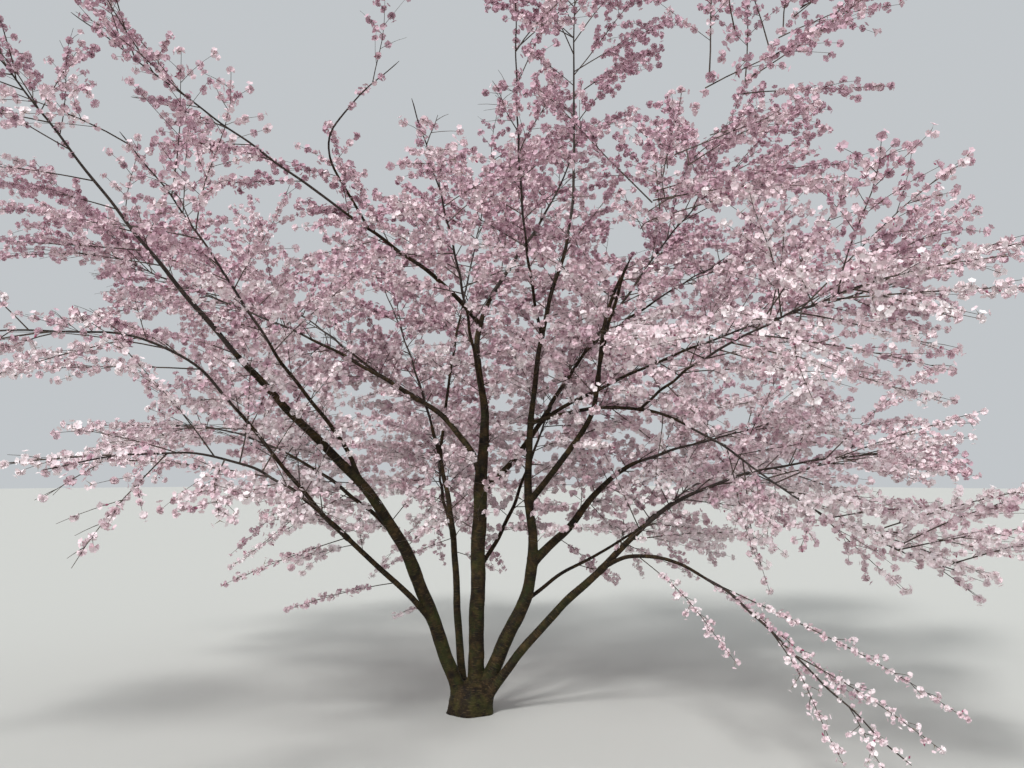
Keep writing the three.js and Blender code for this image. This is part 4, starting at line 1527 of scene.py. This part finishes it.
TINTS = [
    ("blossom_white_pink", "#f8eeef", "#efdfe1", "blossom_pale"),
    ("blossom_pale_pink", "#f4e5e8", "#e9d5d9", "blossom_pale"),
    ("blossom_shell_pink", "#f0dde1", "#e3ccd1", "blossom_mid"),
    ("blossom_rose_pink", "#ebd5da", "#dcc2c8", "blossom_mid"),
    ("blossom_mauve_pink", "#e5ccd2", "#d4b6bf", "blossom_dusky"),
    ("blossom_dusky_pink", "#ddc0c9", "#caa8b4", "blossom_dusky"),
    ("blossom_deep_pink", "#d1b0bb", "#bc96a4", "blossom_deep"),
]
MASS_SLOTS = ["blossom_mid", "blossom_dusky", "blossom_pale", "blossom_deep"]


def masses_with_slot(slot):
    """The blossom nodes that take their finish from a slot."""
    return [
        "blossom_" + mass.limb.name.split("_", 1)[1] for mass in crown().masses
        if MASS_SLOTS[mass.order % len(MASS_SLOTS)] == slot
    ]


# Operators


class CHERRY_OT_grow_bark(bpy.types.Operator):
    """Grows the trunk and the boughs as one piece of wood, with the bark's relief"""

    bl_idname = "cherry.grow_bark"
    bl_label = "Grow bark"

    def execute(self, context):
        bark = context.scene.cherry_bark
        mesh = bark_mesh(bark.voxel, bark.depth, bark.triangles)
        finished("bark", mesh, cherry_bark(bark), ["trunk", *crown().limbs])
        return {"FINISHED"}


class CHERRY_OT_grow_twigs(bpy.types.Operator):
    """Grows the fine ends of the boughs, the twigs and their side twigs"""

    bl_idname = "cherry.grow_twigs"
    bl_label = "Grow twigs"

    def execute(self, context):
        colours = context.scene.cherry_twigs
        grown = growth(context.scene.cherry_blossom.spacing)
        taper = np.linspace(TWIGLET_START_RADIUS, TWIGLET_END_RADIUS, TWIGLET_POINTS)
        ends = [
            tubes([points], [radii], BOUGH_END_SIDES)
            for points, radii in map(self.bough_end, crown().masses)
        ]
        twigs = [
            tubes(*zip(*grown.twigs), TWIG_SIDES),
            tubes(grown.twiglets, [taper] * len(grown.twiglets), TWIG_SIDES),
        ]
        bough_bark = twig_bark("Cherry bough bark", colours.bough_dark, colours.bough_light)
        young_bark = twig_bark("Young cherry bark", colours.dark, colours.light)
        finished("bough_ends", joined_mesh("bough_ends", ends), bough_bark)
        finished("twigs", joined_mesh("twigs", twigs), young_bark)
        return {"FINISHED"}

    def bough_end(self, mass):
        """From just inside the clear wood to the crown's edge, thinner than it where they meet."""
        limb = mass.limb
        start = limb.bare - BOUGH_END_OVERLAP / limb.length
        full = start + BOUGH_END_SWELL / limb.length
        share = np.linspace(start, 1, math.ceil((1 - start) * limb.length / BOUGH_END_STEP))
        radii = limb.radius(share) * np.interp(share, (start, full, 1), BOUGH_END_GIRTHS)
        radii[-1] = TWIG_END_RADIUS
        return cut_at_gap(limb.point(share))[0], radii


class CHERRY_OT_grow_blossom(bpy.types.Operator):
    """Puts the flowers on their umbels, one piece for each tint, and their stalks"""

    bl_idname = "cherry.grow_blossom"
    bl_label = "Grow blossom"

    def execute(self, context):
        blossom = context.scene.cherry_blossom
        grown = flowers(blossom.spacing)
        stalked = grown["stalk"] > 0
        open_shape, cupped_shape = template(build_open_flower), template(build_cupped_flower)
        slots_done = set()
        for number, (name, colour, shade, slot) in enumerate(TINTS):
            tinted = grown["tint"] == number
            parts = [
                self.placed(open_shape, grown, tinted & stalked, blossom.radius),
                self.placed(cupped_shape, grown, tinted & ~stalked, blossom.radius),
            ]
            replaced = [] if slot in slots_done else masses_with_slot(slot)
            slots_done.add(slot)
            plain_name = name.removeprefix("blossom_").replace("_", " ")
            material = petal(f"Cherry petal, {plain_name}", linear(colour), linear(shade))
            finished(name, joined_mesh(name, parts), material, replaced)
        stalks = repeated(
            template(build_stalk), grown["place"][stalked], grown["facing"][stalked],
            grown["stalk"][stalked], grown["spin"][stalked],
        )
        skin = twig_bark("Flower stalk, soft and green", blossom.stalk, blossom.stalk_light)
        finished("flower_stalks", joined_mesh("flower_stalks", [stalks]), skin)
        return {"FINISHED"}

    def placed(self, shape, grown, chosen, radius):
        """Copies of a flower at the ends of their stalks."""
        facing = grown["facing"][chosen]
        places = grown["place"][chosen] + facing * grown["stalk"][chosen][:, None]
        return repeated(
            shape, places, facing, grown["size"][chosen] * radius, grown["spin"][chosen]
        )


class CHERRY_OT_grow_buds(bpy.types.Operator):
    """Puts a few closed buds among the flowers"""

    bl_idname = "cherry.grow_buds"
    bl_label = "Grow buds"

    def execute(self, context):
        blossom = context.scene.cherry_blossom
        points, outward, _, _ = umbel_arrays(blossom.spacing)
        rng = np.random.default_rng(SEEDS["buds"])
        chosen = rng.random(len(points)) < BUD_SHARE
        count = chosen.sum()
        facing = unit(outward[chosen] + BUD_SCATTER * rng.normal(size=(count, 3)))
        buds = repeated(
            template(build_bud), points[chosen] + facing * BUD_OFFSET, facing,
            rng.uniform(*BUD_SIZES, count), np.zeros(count),
        )
        skin = petal("Cherry bud, closed and deep pink", blossom.bud, blossom.bud_shade)
        finished("buds", joined_mesh("buds", [buds]), skin)
        return {"FINISHED"}


class CHERRY_OT_set_stage(bpy.types.Operator):
    """Sets the pale floor, the soft light and the camera at the photograph's viewpoint"""

    bl_idname = "cherry.set_stage"
    bl_label = "Set stage"

    def execute(self, context):
        stage = context.scene.cherry_stage
        self.add_floor(stage.floor)
        self.add_surroundings(context.scene, stage.sky)
        for name, (tilt, heading, share, spread) in LAMPS.items():
            lamp = bpy.data.lights.new(name, "SUN")
            lamp.energy = share * stage.key
            lamp.angle = math.radians(spread)
            new_object(name, lamp).rotation_euler = (math.radians(tilt), 0, math.radians(heading))
        self.add_camera(context.scene)
        return {"FINISHED"}

    def add_floor(self, colour):
        bm = bmesh.new()
        bmesh.ops.create_circle(bm, cap_ends=True, segments=128, radius=FLOOR_RADIUS)
        mesh = bpy.data.meshes.new("floor")
        bm.to_mesh(mesh)
        bm.free()
        material, tree = new_material("Studio floor, matt painted")
        add_surface(tree, {"Base Color": colour, "Roughness": 0.9})
        mesh.materials.append(material)
        new_object("floor", mesh)

    def add_surroundings(self, scene, colour):
        world = bpy.data.worlds.new("studio")
        world.use_nodes = True
        background = world.node_tree.nodes["Background"]
        background.inputs["Color"].default_value = colour
        background.inputs["Strength"].default_value = SURROUNDINGS_STRENGTH
        scene.world = world
        scene.view_settings.view_transform = "Standard"

    def add_camera(self, scene):
        lens = bpy.data.cameras.new("camera")
        lens.sensor_width = SENSOR_WIDTH
        lens.lens = FOCAL_PIXELS / IMAGE_SIZE[0] * SENSOR_WIDTH
        lens.clip_end = VIEW_LIMIT
        camera = new_object("camera", lens)
        camera.location = CAMERA_PLACE
        camera.rotation_euler = (math.radians(90 + CAMERA_PITCH), 0, 0)
        scene.camera = camera


# Each group of settings, with the operators that use it

STEPS = {
    "cherry_bark": (BarkSettings, [CHERRY_OT_grow_bark]),
    "cherry_twigs": (TwigSettings, [CHERRY_OT_grow_twigs]),
    "cherry_blossom": (BlossomSettings, [CHERRY_OT_grow_blossom, CHERRY_OT_grow_buds]),
    "cherry_stage": (StageSettings, [CHERRY_OT_set_stage]),
}


class CHERRY_PT_panel(bpy.types.Panel):
    """Lists the steps that grow the tree, with their sizes and colours"""

    bl_label = "Flowering cherry"
    bl_idname = "CHERRY_PT_panel"
    bl_space_type = "VIEW_3D"
    bl_region_type = "UI"
    bl_category = "Cherry"

    def draw(self, context):
        for name, (group, operators) in STEPS.items():
            box = self.layout.box()
            for setting in group.__annotations__:
                box.prop(getattr(context.scene, name), setting)
            for operator in operators:
                box.operator(operator.bl_idname)


CLASSES = [cls for group, operators in STEPS.values() for cls in (group, *operators)]
CLASSES.append(CHERRY_PT_panel)


def register():
    for cls in CLASSES:
        bpy.utils.register_class(cls)
    for name, (group, _) in STEPS.items():
        setattr(bpy.types.Scene, name, bpy.props.PointerProperty(type=group))


def unregister():
    for name in STEPS:
        delattr(bpy.types.Scene, name)
    for cls in reversed(CLASSES):
        bpy.utils.unregister_class(cls)


def main():
    register()
    bpy.ops.cherry.set_stage()
    bpy.ops.cherry.grow_bark()
    bpy.ops.cherry.grow_twigs()
    bpy.ops.cherry.grow_blossom()
    bpy.ops.cherry.grow_buds()


if __name__ == "__main__":
    main()
